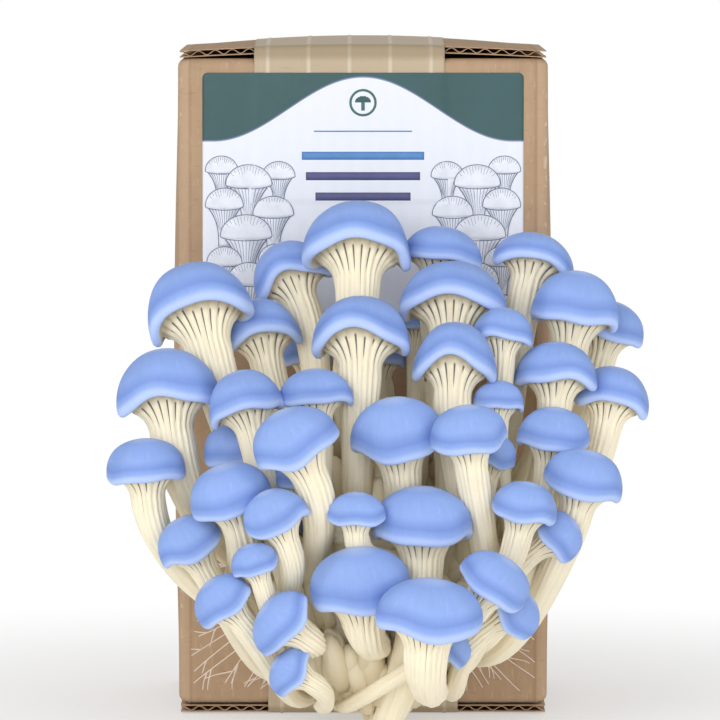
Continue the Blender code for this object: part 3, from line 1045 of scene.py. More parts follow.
@dataclass
class Tape:
    """A strip of reinforced paper tape that goes down the front, over an end and down the back."""

    carton: Carton
    name: str
    node: str
    shift: float
    over_top: bool
    width: float = 70 * MM
    lift: float = 0.25 * MM
    bend_radius: float = 2.0 * MM
    thread_pitch: float = 15 * MM
    thread_rise: float = 0.24 * MM
    thread_width: float = 0.45 * MM
    crown_reach: float = 12 * MM
    back_step: float = 55 * MM
    thickness: float = 0.18 * MM

    def route(self, wall: float, level: float, up: float) -> tuple[Array, Array]:
        """Front leg, run over the carton's end and back leg, with a round bend at each edge.

        Args:
            wall: how far the legs are from the carton's middle.
            level: height of the run.
            up: 1 over the top and -1 under the bottom.

        Returns:
            Y and Z of each point.
        """
        low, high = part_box(self.node)
        front_end, back_end = low[2], high[2] - self.back_step
        if not self.over_top:
            front_end, back_end = high[2], low[2] + self.back_step
        radius = self.bend_radius
        turn = np.linspace(0, math.pi / 2, 10)
        bend_y = wall - radius * (1 - np.cos(turn))
        bend_z = level - up * radius * (1 - np.sin(turn))
        leg = np.linspace(front_end, level - up * radius, 24)[:-1]
        back_leg = np.linspace(level - up * radius, back_end, 16)[1:]
        run = np.linspace(-wall + radius, wall - radius, 44)[1:-1]
        path_y = np.concatenate([np.full(len(leg), -wall), -bend_y, run, bend_y[::-1],
                                 np.full(len(back_leg), wall)])
        path_z = np.concatenate([leg, bend_z, np.full(len(run), level), bend_z[::-1], back_leg])
        return path_y, path_z

    def build(self, material: Material) -> None:
        """Carries the route across the strip's width; threads are low ridges along it.

        Args:
            material: its finish.
        """
        carton = self.carton
        level = carton.flap_top if self.over_top else carton.floor
        up = 1.0 if self.over_top else -1.0
        path_y, path_z = self.route(carton.half_depth + self.lift, level, up)
        columns = self.shift + np.linspace(-self.width / 2, self.width / 2, 71)
        x, y = np.meshgrid(columns, path_y)
        rise = np.zeros_like(x)
        if self.over_top:
            crown = carton.flap_height(x, y, True) - level
            rise = crown * smooth(path_z, level - self.crown_reach, level)[:, None]
        lift = up * self.lift * smooth(up * path_z, up * level - self.bend_radius, up * level)
        z = path_z[:, None] + rise + lift[:, None]
        half_pitch = self.thread_pitch / 2
        away = np.mod(x - self.shift + half_pitch, self.thread_pitch) - half_pitch
        threads = self.thread_rise * np.exp(-(away / self.thread_width) ** 2)
        outward = np.stack([np.zeros(len(path_y)), np.gradient(path_z), -np.gradient(path_y)], -1)
        outward = -up * unit(outward)
        sheet = np.stack([x, y, z], axis=-1) + threads[..., None] * outward[:, None, :]
        strip = sheet_piece(self.name, sheet if self.over_top else sheet[::-1],
                            np.linspace(0, 1, len(path_y)), columns - self.shift)
        thicken(strip, self.thickness)
        finish_piece(strip, Slot.TAPE, material, self.node)


@dataclass
class Label:
    """Paper label on the front: a thin sheet that rises over the end of the tape under it."""

    carton: Carton
    radius: float = 2.0 * MM
    thickness: float = 0.12 * MM
    tape_step: float = 0.35 * MM
    lift: float = 0.12 * MM

    def face(self, x: Array, z: Array) -> Array:
        """Y of the label's outer face: it steps out over the tape under its top.

        Args:
            x: places across.
            z: heights.

        Returns:
            Y at each place.
        """
        tape_low, tape_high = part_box("top_tape")
        over = smooth(z, tape_low[2] - 1.5 * MM, tape_low[2] + 0.5 * MM)
        inside = smooth(x, tape_low[0] - 1.2 * MM, tape_low[0] + 0.6 * MM)
        inside = inside * (1 - smooth(x, tape_high[0] - 0.6 * MM, tape_high[0] + 1.2 * MM))
        ripple = 0.05 * MM * np.sin(x * 140) * np.sin(z * 90 + 1.0)
        flat = -self.carton.half_depth - self.lift - self.thickness
        return flat - self.tape_step * over * inside + ripple

    def build(self, material: Material) -> None:
        """Rows across the label, each as wide as its round corners leave.

        Args:
            material: its finish.
        """
        low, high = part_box("label")
        radius = self.radius
        arc = radius * (1 - np.cos(np.linspace(0, math.pi / 2, 7)))
        rows = np.concatenate([low[2] + arc, np.linspace(low[2] + radius, high[2] - radius, 96)[1:-1],
                               (high[2] - arc)[::-1]])
        near = np.clip(radius - np.minimum(rows - low[2], high[2] - rows), 0, radius)
        cutback = radius - np.sqrt(np.clip(radius ** 2 - near ** 2, 0, None))
        half = (high[0] - low[0]) / 2 - cutback
        x = np.linspace(-1, 1, 91)[None, :] * half[:, None]
        z = np.broadcast_to(rows[:, None], x.shape)
        sheet = np.stack([x, self.face(x, z), z], axis=-1)
        paper = sheet_piece("label_paper_sheet", sheet, rows, np.linspace(0, 1, 91))
        thicken(paper, self.thickness)
        finish_piece(paper, Slot.LABEL, material, "label")


class Pen:
    """Draws ribbons of ink on the carton's front."""

    def __init__(self, face: Callable[[Array, Array], Array]) -> None:
        """Starts with a clean sheet.

        Args:
            face: gives Y of the printed face from X and Z.
        """
        self.face = face
        self.skin = Skin()
        self.lift = 0.0

    def sheet(self, flat: Array) -> None:
        """Adds a patch of ink on a grid of (x, z) places, raised by the pen's lift.

        Args:
            flat: the places, of shape (rows, columns, 2).
        """
        x, z = flat[..., 0], flat[..., 1]
        rows, columns = flat.shape[:2]
        self.skin.add_grid(np.stack([x, self.face(x, z) - self.lift, z], axis=-1), np.linspace(0, 1, rows),
                           np.linspace(0, 1, columns))

    def stroke(self, x: Array | float, z: Array | float, width: float | Array) -> None:
        """Adds one ribbon along a path, tapered where the width varies.

        Args:
            x: places across, or one place for all.
            z: heights, or one height for all.
            width: one width, or one for each place.
        """
        path = np.stack(np.broadcast_arrays(x, z), axis=-1)
        along = unit(np.gradient(path, axis=0))
        across = np.stack([-along[:, 1], along[:, 0]], -1) * (np.broadcast_to(width, len(path)) / 2)[:, None]
        self.sheet(np.stack([path + across, path, path - across], axis=1))

    def finish(self, name: str, slot: Slot, material: Material) -> None:
        """Makes the ink a thin solid.

        Args:
            name: the piece's name.
            slot: its material slot.
            material: the ink.
        """
        ink = self.skin.build(name)
        thicken(ink, 0.02 * MM)
        finish_piece(ink, slot, material)


@dataclass
class MyceliumPrint:
    """Printed threads that spread from the window over the carton's lower front."""

    carton: Carton
    centre_x: float = 0.0
    centre_z: float = 70 * MM
    inner: float = 30 * MM
    fold_x: float = 63.5 * MM
    low_z: float = 9.0 * MM
    strands: int = 62
    width: float = 0.74 * MM
    rise: float = 0.0006 * MM
    seed: int = 11

    def __post_init__(self) -> None:
        """Takes up a pen for the carton's front and seeds the random draws."""
        front = -self.carton.half_depth - 0.05 * MM
        self.pen = Pen(lambda x, z: np.full(x.shape, front))
        self.rng = np.random.default_rng(self.seed)

    def build(self, material: Material) -> None:
        """Each strand leaves the window along its own ray, wanders a little and forks.

        Args:
            material: the ink.
        """
        angles = np.linspace(math.radians(168), math.radians(372), self.strands)
        for angle in angles + self.rng.normal(0, 0.02, self.strands):
            self.strand(angle)
        self.pen.finish("mycelium_print", Slot.KRAFT, material)

    def reach(self, angle: float) -> float:
        """Distance from the centre to the fold lines or the lower edge along an angle.

        Args:
            angle: direction in the plane of the front.

        Returns:
            The distance.
        """
        across, down = abs(math.cos(angle)) + 1e-6, -math.sin(angle)
        limit = self.fold_x / across
        return min(limit, (self.centre_z - self.low_z) / down) if down > 0 else limit

    def wander(self, start: Array, angle: float, length: float, width: float) -> Array:
        """Draws one thread that sways about a straight line.

        Args:
            start: X and Z where it starts.
            angle: its direction.
            length: how long it is.
            width: its width at the start.

        Returns:
            X and Z along it.
        """
        share = np.linspace(0, 1, 26)
        sway = 0.045 * length * np.sin(share * self.rng.uniform(2.5, 5.5) + self.rng.uniform(0, 6)) * share
        ahead = np.array([math.cos(angle), math.sin(angle)])
        aside = np.array([-ahead[1], ahead[0]])
        path = start + share[:, None] * length * ahead + sway[:, None] * aside
        path[:, 0] = np.clip(path[:, 0], -self.fold_x, self.fold_x)
        path[:, 1] = np.clip(path[:, 1], self.low_z - 3 * MM, None)
        self.pen.stroke(path[:, 0], path[:, 1], width * (1 - 0.45 * share))
        self.pen.lift += self.rise
        return path

    def strand(self, angle: float) -> None:
        """One strand with its forks and stubs.

        Args:
            angle: its direction.
        """
        rng = self.rng
        limit = self.reach(angle)
        start_r = self.inner * rng.uniform(0.95, 1.15)
        length = (limit - start_r) * rng.uniform(0.9, 1.0)
        if length < 6 * MM:
            return
        centre = np.array([self.centre_x, self.centre_z])
        start = centre + start_r * np.array([math.cos(angle), math.sin(angle)])
        path = self.wander(start, angle, length, self.width)
        for _ in range(int(rng.integers(2, 5))):
            at = path[int(rng.integers(8, 24))]
            bend = rng.choice([-1, 1]) * rng.uniform(0.4, 0.7)
            self.wander(at, angle + bend, rng.uniform(4, 11) * MM, self.width * 0.75)


@dataclass
class LabelDrawing:
    """Line drawings of mushrooms at both sides of the label, and plain ornaments down its middle."""

    line: float = 0.32 * MM
    base_z: float = 158 * MM

    # Middle, rise over the base, width and height of each drawn cap in millimetres, from back to front
    STAND = ((-52, 43, 12, 9), (-31, 41, 12, 9), (-42, 38, 17, 12), (-51, 30, 14, 11), (-33, 27, 15, 11),
             (-43, 19, 19, 13), (-51, 9, 13, 10), (-32, 10, 13, 10), (-42, 2, 16, 12), (-51, -8, 12, 9),
             (-33, -8, 12, 9))

    def build(self, label: Label, inks: dict[str, Material]) -> None:
        """Draws both groups from the back to the front, then the ornaments down the middle.

        Args:
            label: the label.
            inks: the prints' finishes by name.
        """
        def face(x: Array, z: Array) -> Array:
            """Y just outside the label."""
            return label.face(x, z) - 0.03 * MM

        lines, bodies = Pen(face), Pen(face)
        for place, (x, rise, width, height) in enumerate(self.STAND):
            bodies.lift = place * 0.05 * MM
            lines.lift = bodies.lift + 0.025 * MM
            for side in (-1, 1):
                where = (side * x * MM, self.base_z + rise * MM, width * MM / 2, height * MM)
                self.body(bodies, *where)
                self.mushroom(lines, *where)
        bodies.finish("label_drawing_bodies", Slot.LABEL, inks["pale"])
        lines.finish("label_line_drawing", Slot.LABEL, inks["slate"])
        mark = Pen(face)
        self.emblem(mark, 0.0, 226 * MM)
        mark.finish("label_emblem", Slot.LABEL, inks["green"])
        for name, ink, bars in (("label_rules", "navy", ((199, 21, 3.0), (191.5, 17.5, 3.0))),
                                ("label_title_rules", "blue", ((215.5, 18, 0.5), (206.5, 22.5, 3.0)))):
            pen = Pen(face)
            for bar in bars:
                self.rule(pen, *bar)
            pen.finish(name, Slot.LABEL, inks[ink])

    @staticmethod
    def rule(pen: Pen, level: float, half: float, width: float) -> None:
        """A plain bar across the middle, in millimetres.

        Args:
            pen: draws it.
            level: its height.
            half: half its length.
            width: its width.
        """
        pen.stroke(np.linspace(-half, half, 30) * MM, level * MM, width * MM)

    def body(self, pen: Pen, x: float, z: float, half: float, height: float) -> None:
        """Paper-coloured cap and stem, which hide the drawing behind them.

        Args:
            pen: draws it.
            x: middle of its cap.
            z: level of its rim.
            half: half the width of its cap.
            height: height of its cap.
        """
        across = np.linspace(-1, 1, 25)
        rise = np.sqrt(1 - across ** 2)
        cap = np.stack([np.stack([x + half * across, z + height * level * rise], -1)
                        for level in (0.6, 0.3, 0.0, -0.14)])
        pen.sheet(cap)
        drop = np.linspace(0, 1, 12)
        width = half * (0.30 + 0.5 * (1 - drop) ** 3)
        stem = np.stack([np.stack([x + side * width, z - height * (0.1 + 1.25 * drop)], -1)
                         for side in (-1.0, 0.0, 1.0)], axis=1)
        pen.sheet(stem)

    def mushroom(self, pen: Pen, x: float, z: float, half: float, height: float) -> None:
        """One mushroom in outline: a half-ellipse cap, its lower lip, gill strokes and a waisted stem.

        Args:
            pen: draws it.
            x: middle of its cap.
            z: level of its rim.
            half: half the width of its cap.
            height: height of its cap.
        """
        turn = np.linspace(0, math.pi, 26)
        for level in (0.6, -0.14):
            pen.stroke(x + half * np.cos(turn), z + height * level * np.sin(turn), self.line)
        drop = np.linspace(0, 1, 14)
        for share in np.linspace(-0.8, 0.8, 11):
            gill_x = x + half * share * (1 - 0.66 * drop)
            gill_z = z - height * (0.12 + (0.55 + 0.4 * (1 - abs(share))) * drop ** 1.3)
            pen.stroke(gill_x, gill_z, self.line * (0.75 - 0.45 * drop))
        for side in (-1, 1):
            edge_x = x + side * half * (0.30 + 0.5 * (1 - drop) ** 3)
            pen.stroke(edge_x, z - height * (0.1 + 1.25 * drop), self.line)
        for share in np.linspace(-0.8, 0.8, 12):
            reach = math.sqrt(1 - share ** 2)
            hatch = np.linspace(0.93, 0.62 + 0.12 * math.cos(9 * share), 8) * reach
            hatch_x = x + half * share * (0.4 + 0.6 * hatch / reach)
            pen.stroke(hatch_x, z + height * 0.6 * hatch, self.line * 0.45)

    def emblem(self, pen: Pen, x: float, z: float) -> None:
        """A plain ring with a simple cap and stem in it.

        Args:
            pen: draws it.
            x: its middle.
            z: height of its middle.
        """
        turn = np.linspace(0, 2 * math.pi, 60)
        pen.stroke(x + 4.6 * MM * np.cos(turn), z + 4.6 * MM * np.sin(turn), 0.9 * MM)
        for share in np.linspace(0, 1, 7):
            half = 2.9 * MM * math.sqrt(1 - 0.85 * share ** 2)
            level = z + 0.3 * MM + share * 1.9 * MM
            pen.stroke(np.linspace(x - half, x + half, 12), level, 0.42 * MM)
        pen.stroke(x, np.linspace(z + 0.2 * MM, z - 2.9 * MM, 8), 1.3 * MM)


# ---------------------------------------------------------------- cluster


def solid_rings(node: str, sides: int) -> tuple[Array, list[Array]]:
    """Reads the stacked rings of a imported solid, counted in steps from its pole.

    Args:
        node: the solid's name.
        sides: how many points each ring has.

    Returns:
        The pole and the rings of points, in order from it.
    """
    mesh = bpy.data.objects[node].data
    places = np.zeros(len(mesh.vertices) * 3, np.float32)
    mesh.vertices.foreach_get("co", places)
    triangles = np.zeros(len(mesh.loops), np.int32)
    mesh.loops.foreach_get("vertex_index", triangles)
    points, same = np.unique(np.round(places.reshape(-1, 3).astype(float), 6), axis=0, return_inverse=True)
    corners = same.reshape(-1)[triangles].reshape(-1, 3)
    joined = np.zeros((len(points), len(points)), bool)
    for one, two in ((0, 1), (1, 2), (2, 0)):
        joined[corners[:, one], corners[:, two]] = True
        joined[corners[:, two], corners[:, one]] = True
    best: list[Array] = []
    for pole in np.flatnonzero(joined.sum(axis=1) == sides):
        seen = np.zeros(len(points), bool)
        seen[pole] = True
        front, rings = seen.copy(), []
        while True:
            front = joined[front].any(axis=0) & ~seen
            if front.sum() != sides:
                break
            rings.append(points[front])
            seen |= front
        if len(rings) > len(best):
            best, best_pole = rings, points[pole]
    return best_pole, best


@dataclass(frozen=True)
class MushroomForm:
    """Size and directions of one mushroom, read from its solid."""

    rim: Array
    side: Array
    up: Array
    ahead: Array
    half_width: float
    half_depth: float
    height: float
    stem_curve: Array
    stem_radii: Array

    STATIONS = np.array([0.0, 0.33, 0.70, 1.0])
    RIM_LEVEL = 0.06

    @classmethod
    def read(cls, node: str) -> "MushroomForm":
        """Works out the form from the solid's pole and nine rings.

        Args:
            node: the solid's name.

        Returns:
            The form.
        """
        pole, rings = solid_rings(node, 10)
        middles = [ring.mean(axis=0) for ring in rings]
        axis = pole - middles[2]
        up = unit(axis)
        height = float(np.linalg.norm(axis)) / (1 - cls.RIM_LEVEL)
        _, sizes, directions = np.linalg.svd(rings[2] - middles[2])
        side = directions[0] * np.sign(directions[0][0])
        side = unit(side - up * np.dot(side, up))
        necks = np.array(middles[5:9])
        powers = np.stack([cls.STATIONS ** k for k in range(4)], axis=-1)
        curve = np.linalg.solve(powers, necks)
        radii = np.array([np.linalg.norm(ring - middle, axis=1).mean()
                          for ring, middle in zip(rings[5:9], middles[5:9])])
        return cls(middles[2] - up * height * cls.RIM_LEVEL, side, up, np.cross(side, up),
                   float(sizes[0]) / math.sqrt(5), float(sizes[1]) / math.sqrt(5), height, curve, radii)


@dataclass
class Mushroom:
    """One mushroom: a domed cap with a rolled rim, gills that run down the stem, and the stem."""

    node: str
    number: int
    samples: int = 4
    gill_spacing: float = 2.7 * MM
    cap_rows: int = 17
    lip_rows: int = 7
    gill_rows: int = 14
    stem_rows: int = 18
    lip: float = 0.10
    gill_start: float = 0.80
    neck: float = 0.38
    gill_depth: float = 0.085
    sink: float = 5.0 * MM
    plump: float = 0.85

    def __post_init__(self) -> None:
        """Reads the solid, counts the gills and draws the mushroom's own random phases."""
        self.form = MushroomForm.read(self.node)
        self.gills = int(np.clip(round(math.pi * self.form.half_width / self.gill_spacing / 2) * 2, 18, 30))
        columns = self.gills * self.samples
        self.turn = np.arange(columns) * 2 * math.pi / columns
        self.phases = np.random.default_rng(100 + self.number).uniform(0, 2 * math.pi, 8)
        self.droop = float(np.clip(0.06 + 0.9 * self.form.up[1], -0.08, 0.24))

    def build(self, material: Material) -> None:
        """Stacks the rows of cap, lip, gills and stem into one closed skin.

        Args:
            material: finish of the flesh.
        """
        stem, tip = self.stem_part()
        parts = (self.cap_part(), self.lip_part(), self.gill_part(), stem)
        ends = (0.0, 0.5, 0.56, 0.75, 1.0)
        rows = np.concatenate([np.linspace(low, high, len(part) + 1)[1:]
                               for part, low, high in zip(parts, ends, ends[1:])])
        count = np.linspace(0, self.gills, len(self.turn) + 1) + 0.5
        flesh = sheet_piece(self.node + "_flesh", np.concatenate(parts), rows, count, wrap=True,
                            first_pole=self.form.rim + self.form.up * self.form.height, last_pole=tip)
        finish_piece(flesh, Slot.MUSHROOM, material, self.node)

    def sway(self, radius: Array) -> tuple[Array, Array]:
        """Lobes of the cap: a share added to the radius and a level added to the height.

        Args:
            radius: share of the cap's radius.

        Returns:
            What is added to the radius and to the level.
        """
        turn, phases = self.turn, self.phases
        lobes = (0.030 * np.sin(2 * turn + phases[0]) + 0.022 * np.sin(3 * turn + phases[1])
                 + 0.012 * np.sin(7 * turn + phases[2]))
        lift = (0.05 * np.sin(3 * turn + phases[3]) + 0.03 * np.sin(5 * turn + phases[4])
                - self.droop * np.cos(2 * turn))
        return lobes * radius ** 2, lift * radius ** 3

    def place(self, radius: Array, level: Array, deep: Array | float) -> Array:
        """Points at a share of the cap's size and a share of its height.

        Args:
            radius: share of the radius.
            level: share of the height.
            deep: radius from front to back.

        Returns:
            The places.
        """
        form = self.form
        across = (radius * np.cos(self.turn))[..., None] * form.side * form.half_width
        forward = (radius * np.sin(self.turn) * deep)[..., None] * form.ahead
        return form.rim + across + forward + level[..., None] * form.up * form.height

    def cap_part(self) -> Array:
        """Dome: radius is the sine and height about the cosine of an angle from the pole, with soft dents.

        Returns:
            The rows of the dome.
        """
        angle = np.linspace(0, 1, self.cap_rows + 1)[1:, None] ** 0.9 * math.pi / 2
        radius = np.sin(angle) + 0 * self.turn
        wider, higher = self.sway(radius)
        dents = 0.020 * np.sin(2 * self.turn + 4 * angle + self.phases[5]) * np.sin(angle) ** 2
        level = np.cos(angle) ** 0.9 + higher + dents
        return self.place(radius + wider, level, self.form.half_depth)

    def lip_part(self) -> Array:
        """Rolled rim: a half circle from the dome's edge to its inner side.

        Returns:
            The rows of the rim.
        """
        angle = np.linspace(0, 1, self.lip_rows + 1)[1:, None] * math.pi * 1.02
        rolled = self.lip * self.form.half_width / self.form.height * 1.25
        radius = 1 - self.lip * (1 - np.cos(angle)) + 0 * self.turn
        wider, higher = self.sway(np.ones_like(radius))
        return self.place(radius + wider, higher - rolled * np.sin(angle), self.form.half_depth)

    def ridges(self) -> Array:
        """Gill relief: blades with round edges, a gap between each two."""
        return (0.5 + 0.5 * np.cos(self.gills * self.turn)) ** 0.8

    def gill_part(self) -> Array:
        """Underside: a trumpet curve from inside the rim to the neck, with blades standing off it.

        Returns:
            The rows of the underside.
        """
        form, turn = self.form, self.turn
        share = np.linspace(0, 1, self.gill_rows + 1)[1:, None]
        fade = (1 - share) ** 1.5
        radius = self.neck + (self.gill_start - self.neck) * (1 - share) ** 1.65 + 0 * turn
        level = 0.03 - 0.65 * share ** 1.35 + 0 * turn
        wider, higher = self.sway(np.ones_like(radius))
        deep = form.half_depth + (form.half_width - form.half_depth) * share ** 2
        points = self.place(radius + wider * fade, level + higher * fade, deep)
        setback = form.stem_curve[0] - (form.rim - form.up * form.height * 0.62)
        points = points + setback * smooth(share, 0.0, 1.0)[..., None]
        height = self.gill_depth * form.half_width * self.ridges() * smooth(share, 0.0, 0.22)
        tilt = share * math.pi / 2
        sideways = np.cos(turn)[:, None] * form.side + np.sin(turn)[:, None] * form.ahead
        outward = sideways * np.sin(tilt)[..., None] - form.up * np.cos(tilt)[..., None]
        return points + (height * (1 - 0.35 * share))[..., None] * outward

    def stem_part(self) -> tuple[Array, Array]:
        """Stem: rings along the solid's own cubic, ribbed at the top and flared where it meets the base.

        Returns:
            The rows of the stem and its tip.
        """
        form, turn = self.form, self.turn
        share = np.linspace(0, 1, self.stem_rows + 1)[1:]
        powers = np.stack([share ** k for k in range(4)], axis=-1)
        slopes = np.stack([k * share ** max(k - 1, 0) for k in range(4)], axis=-1)
        middles = powers @ form.stem_curve
        along = unit(slopes @ form.stem_curve)
        middles = np.vstack([middles, middles[-1] + along[-1] * self.sink])
        along = np.vstack([along, along[-1:]])
        share = np.append(share, 1.0)
        radius = np.interp(share, form.STATIONS, form.stem_radii)
        full = form.stem_radii[0] * (1.0 - 0.24 * share)
        radius = radius + self.plump * np.clip(full - radius, 0, None)
        across = unit(form.side - along * (along @ form.side)[:, None])
        deep = np.cross(across, -along)
        swell = (1 + 0.05 * np.sin(2 * turn + 5 * share[:, None] + self.phases[6])
                 + 0.035 * np.sin(5 * turn + 3 * share[:, None] + self.phases[7])
                 + 0.012 * np.sin(13 * turn + self.phases[2]))
        ribs = self.gill_depth * 0.65 * form.half_width * self.ridges()
        ribs = ribs * (1 - smooth(share, 0.0, 0.42))[:, None]
        size = (radius[:, None] * swell + ribs)[..., None]
        ring = np.cos(turn)[None, :, None] * across[:, None] + np.sin(turn)[None, :, None] * deep[:, None]
        points = middles[:, None] + size * ring
        points[..., 2] = np.maximum(points[..., 2], FLOOR_GAP)
        tip = middles[-1].copy()
        tip[2] = max(tip[2], FLOOR_GAP)
        return points, tip


@dataclass
class ClusterBase:
    """Lump of fused flesh behind all the stems, with small pins growing between them."""

    sides: int = 16
    rows: int = 90
    columns: int = 150
    pins: int = 210
    pin_floor: float = 9 * MM
    pin_length: tuple[float, float] = (14 * MM, 26 * MM)
    pin_radius: tuple[float, float] = (2.6 * MM, 4.6 * MM)
    seed: int = 5

    def surface(self) -> tuple[Array, Array]:
        """Smooth rings through the solid's own, with lumps, and the outward directions.

        Returns:
            The places and the outward direction at each.
        """
        pole, rings = solid_rings("cluster_base", self.sides)
        middles = np.array([pole, *(ring.mean(axis=0) for ring in rings)])
        halves = [((ring.max(axis=0) - ring.min(axis=0)) / 2)[[0, 2]] for ring in rings]
        sizes = np.array([(0.0, 0.0), *halves])
        where = np.linspace(0.0, 1.0, self.rows + 1)[1:] ** 1.4 * (len(middles) - 1)
        centre = through(middles, where)
        half = np.stack([np.interp(where, np.arange(len(sizes)), sizes[:, k]) for k in range(2)], -1)
        first = np.clip(where, 0, 1)
        rounded = np.where(where < 1, np.sqrt(1 - (1 - first) ** 2), 1.0)
        half = half * np.where(where < 1, rounded / np.maximum(first, 1e-6), 1.0)[:, None]
        turn = np.arange(self.columns) * 2 * math.pi / self.columns
        down = where[:, None]
        lump = (0.045 * np.sin(4 * turn + 1.3 * down) + 0.035 * np.sin(7 * turn - 2.1 * down)
                + 0.025 * np.sin(11 * turn + 3.7 * down) + 0.02 * np.sin(17 * turn - 5.0 * down))
        lump = 1 + lump * (1 - smooth(where, len(middles) - 2.6, len(middles) - 1.9))[:, None]
        x = centre[:, None, 0] + half[:, None, 0] * lump * np.cos(turn)
        z = centre[:, None, 2] + half[:, None, 1] * lump * np.sin(turn)
        y = np.broadcast_to(centre[:, None, 1], x.shape)
        points = np.stack([x, y, z], axis=-1)
        outward = unit(points - middles[3])
        return points, outward

    def build(self, material: Material, pin_material: Material) -> None:
        """Builds the lump and its pins.

        Args:
            material: finish of the lump.
            pin_material: finish of the pins.
        """
        points, outward = self.surface()
        pole, _ = solid_rings("cluster_base", self.sides)
        flesh = sheet_piece("cluster_base_flesh", points[:, ::-1], np.linspace(0, 1, len(points)),
                            np.linspace(0, 1, self.columns + 1), wrap=True, first_pole=pole,
                            last_pole=points[-1].mean(axis=0))
        finish_piece(flesh, Slot.FLESH, material, "cluster_base")
        self.build_pins(points, outward, pin_material)

    def build_pins(self, points: Array, outward: Array, material: Material) -> None:
        """Young pins: short stalks with round heads, standing off the lump at random places.

        Args:
            points: places on the lump.
            outward: outward direction at each.
            material: finish of the pins.
        """
        rng = np.random.default_rng(self.seed)
        skin = Skin()
        turn = np.arange(10) * 2 * math.pi / 10
        share = np.linspace(0, 1, 10)
        for _ in range(self.pins):
            row = int(rng.integers(2, int(self.rows * 0.72)))
            column = int(rng.integers(0, self.columns))
            foot, out = points[row, column], outward[row, column]
            if foot[2] < self.pin_floor:
                continue
            direction = unit(0.45 * out + np.array([0, 0, 1.0]) + rng.normal(0, 0.10, 3))
            length, radius = rng.uniform(*self.pin_length), rng.uniform(*self.pin_radius)
            side = unit(np.cross(direction, [0.3, 0.1, 0.9]))
            deep = np.cross(side, direction)
            profile = radius * np.sqrt(1 - (1 - np.clip(share / 0.3 + 0.12, 0, 1)) ** 2) * (0.8 + 0.4 * share)
            heights = length * (1 - share) - 1.5 * MM
            ring = np.cos(turn)[:, None] * side + np.sin(turn)[:, None] * deep
            grid = foot + heights[:, None, None] * direction + profile[:, None, None] * ring
            grid[..., 2] = np.maximum(grid[..., 2], FLOOR_GAP)
            # Pins take only the root end of the flesh's V, cream grading into the stem's tan, as painted
            # shade for stems deep in the cluster.
            rows = np.linspace(0.90, 1.0, 10)
            skin.add_grid(grid, rows, np.linspace(0, 1, 11), wrap=True,
                          first_pole=foot + (length - 1.3 * MM) * direction, last_pole=grid[-1].mean(axis=0))
        finish_piece(skin.build("young_pins"), Slot.MUSHROOM, material)


# ---------------------------------------------------------------- studio


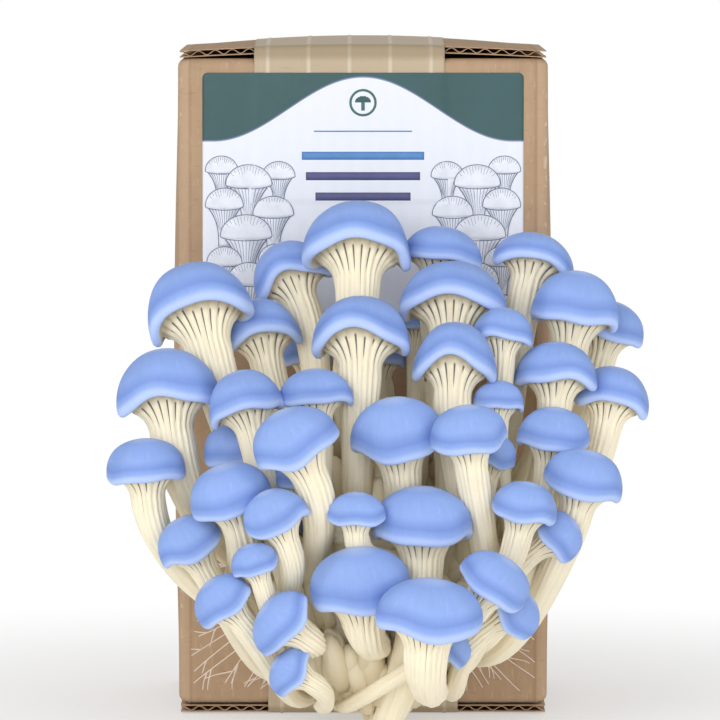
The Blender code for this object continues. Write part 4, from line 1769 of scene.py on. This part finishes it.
@dataclass
class Studio:
    """Pale floor, soft lights and the camera."""

    distance: float = 2.4
    field: float = 265.3 * MM
    elevation: float = 4.0
    aim: tuple[float, float, float] = (-1.1 * MM, -55 * MM, 131.2 * MM)
    room_light: float = 0.52

    LIGHTS = (("key", (-0.85, -1.45, 0.85), 1.2, 12.0), ("fill", (1.2, -1.3, 0.45), 1.3, 8.0),
              ("low", (-0.2, -1.9, 0.2), 1.0, 7.0), ("back", (0.3, 1.1, 1.2), 1.2, 3.0))

    def build(self, effects: Effects) -> None:
        """Sets up floor, lights, world and camera.

        Args:
            effects: the shared node groups.
        """
        self.build_floor(effects)
        for name, place, size, power in self.LIGHTS:
            self.add_light(name, place, size, power)
        world = bpy.data.worlds.new("pale_room")
        world.use_nodes = True
        wires = Wires(world.node_tree)
        background = world.node_tree.nodes["Background"]
        background.inputs["Color"].default_value = (1.0, 1.0, 1.0, 1.0)
        seen = wires.node("ShaderNodeLightPath").outputs["Is Camera Ray"]
        strength = wires.maths("MULTIPLY_ADD", seen, 1.0 - self.room_light, self.room_light)
        world.node_tree.links.new(strength, background.inputs["Strength"])
        scene = bpy.context.scene
        scene.world = world
        scene.view_settings.view_transform = "Standard"
        scene.camera = self.build_camera()

    def build_floor(self, effects: Effects) -> None:
        """A pale floor with the faintest grain, which melts into the room's own white further out.

        Args:
            effects: the shared node groups.
        """
        size = np.linspace(-4, 4, 3)
        x, y = np.meshgrid(size, size)
        floor = sheet_piece("floor", np.stack([x, y, np.full(x.shape, -0.02 * MM)], axis=-1), size, size)
        material, wires, shader = new_material("pale_floor")
        place = object_place(wires)
        grain = mottled(wires, effects, srgb(247, 247, 247), 220.0, 0.02)
        away = wires.node("ShaderNodeVectorMath", {0: place}, operation="LENGTH").outputs["Value"]
        white = wires.maths("MULTIPLY_ADD", wires.step(away, 0.04, 0.42), 0.62, 0.38)
        dark = wires.mix(white, grain.outputs["Colour"], (0.0, 0.0, 0.0, 1.0))
        connect(wires, shader, Base_Color=dark, Roughness=0.75, Specular_IOR_Level=0.1,
                Emission_Color=(1.0, 1.0, 1.0, 1.0), Emission_Strength=white)
        floor.data.materials.append(material)

    def add_light(self, name: str, place: tuple[float, float, float], size: float, power: float) -> None:
        """Args:
            name: its name.
            place: where it stands.
            size: length of its sides.
            power: its watts.
        """
        light = bpy.data.lights.new(name, "AREA")
        light.size = size
        light.energy = power
        lamp = bpy.data.objects.new(name, light)
        bpy.context.scene.collection.objects.link(lamp)
        self.turn_to(lamp, place, (0.0, -0.06, 0.12))

    @staticmethod
    def turn_to(thing: bpy.types.Object, place: tuple, target: tuple) -> None:
        """Puts a light or camera at a place and points it at a target.

        Args:
            thing: the light or camera.
            place: where it stands.
            target: what it points at.
        """
        back = unit(np.array(place) - np.array(target))
        right = unit(np.cross([0, 0, 1], back))
        above = np.cross(back, right)
        columns = np.stack([right, above, back, np.array(place)], axis=-1)
        thing.matrix_world = Matrix(np.vstack([columns, [0, 0, 0, 1]]).tolist())

    def build_camera(self) -> bpy.types.Object:
        """A long lens, level with the middle of the carton.

        Returns:
            The camera.
        """
        data = bpy.data.cameras.new("camera")
        data.sensor_width = 36.0
        data.lens = 36.0 * self.distance / self.field
        data.clip_end = 20.0
        camera = bpy.data.objects.new("camera", data)
        bpy.context.scene.collection.objects.link(camera)
        tilt = math.radians(self.elevation)
        aim = np.array(self.aim)
        place = aim + self.distance * np.array([0, -math.cos(tilt), math.sin(tilt)])
        self.turn_to(camera, tuple(place), self.aim)
        return camera


# ---------------------------------------------------------------- kit


@dataclass
class GrowKit:
    """The whole kit, put together from its sub-assemblies."""

    effects: Effects

    INKS = {"slate": srgb(112, 122, 150), "green": srgb(64, 104, 100), "navy": srgb(84, 86, 128),
            "blue": srgb(86, 134, 190), "pale": srgb(224, 227, 235), "print": srgb(226, 208, 192)}

    def build_packaging(self) -> None:
        """Carton, tapes, label and prints."""
        carton = Carton()
        kraft = PaperFinish("kraft", srgb(172, 144, 116), srgb(196, 170, 142), srgb(138, 110, 82), 0.84,
                            mottle=0.13, fibre_share=0.5, flute_pitch=carton.flute_pitch, fold=63.6 * MM,
                            side=carton.half_width, front=carton.half_depth)
        kraft_material = kraft.build(self.effects)[0]
        tape = TapeFinish(top_edge=carton.flap_top, front=-carton.half_depth)
        tape_material = tape.build(self.effects)
        carton.build(kraft_material)
        Tape(carton, "top_tape_strip", "top_tape", -5 * MM, True).build(tape_material)
        Tape(carton, "bottom_tape_strip", "bottom_tape", 0.0, False).build(tape_material)
        label = Label(carton)
        label.build(LabelFinish(flute_pitch=carton.flute_pitch).build(self.effects))
        inks = {name: InkFinish(name + "_ink", colour).build(self.effects)
                for name, colour in self.INKS.items()}
        LabelDrawing().build(label, inks)
        MyceliumPrint(carton).build(inks["print"])

    def build_filling(self, nodes: dict[str, bpy.types.Object]) -> None:
        """Finishes the block and its bag, whose solids are right as they are.

        Args:
            nodes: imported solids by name.
        """
        for name, material in (("substrate_block", SubstrateFinish().build(self.effects)),
                               ("grow_bag", FilmFinish().build(self.effects))):
            nodes[name].data.materials.clear()
            nodes[name].data.materials.append(material)
            LOG.info("%s: dressed", name)

    def build_cluster(self, nodes: dict[str, bpy.types.Object]) -> None:
        """Base, pins and every mushroom.

        Args:
            nodes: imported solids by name.
        """
        flesh = MushroomFinish().build(self.effects)
        ClusterBase().build(BaseFinish().build(self.effects), flesh)
        names = sorted(name for name in nodes if "_mushroom_" in name)
        for number, name in enumerate(names):
            Mushroom(name, number).build(flesh)


def main(frame: dict) -> None:
    logging.basicConfig(level=logging.INFO, format="%(name)s %(message)s")
    effects = Effects()
    kit = GrowKit(effects)
    kit.build_packaging()
    kit.build_filling(frame["nodes"])
    kit.build_cluster(frame["nodes"])
    Studio().build(effects)


if __name__ == "__main__":
    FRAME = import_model()
    main(FRAME)
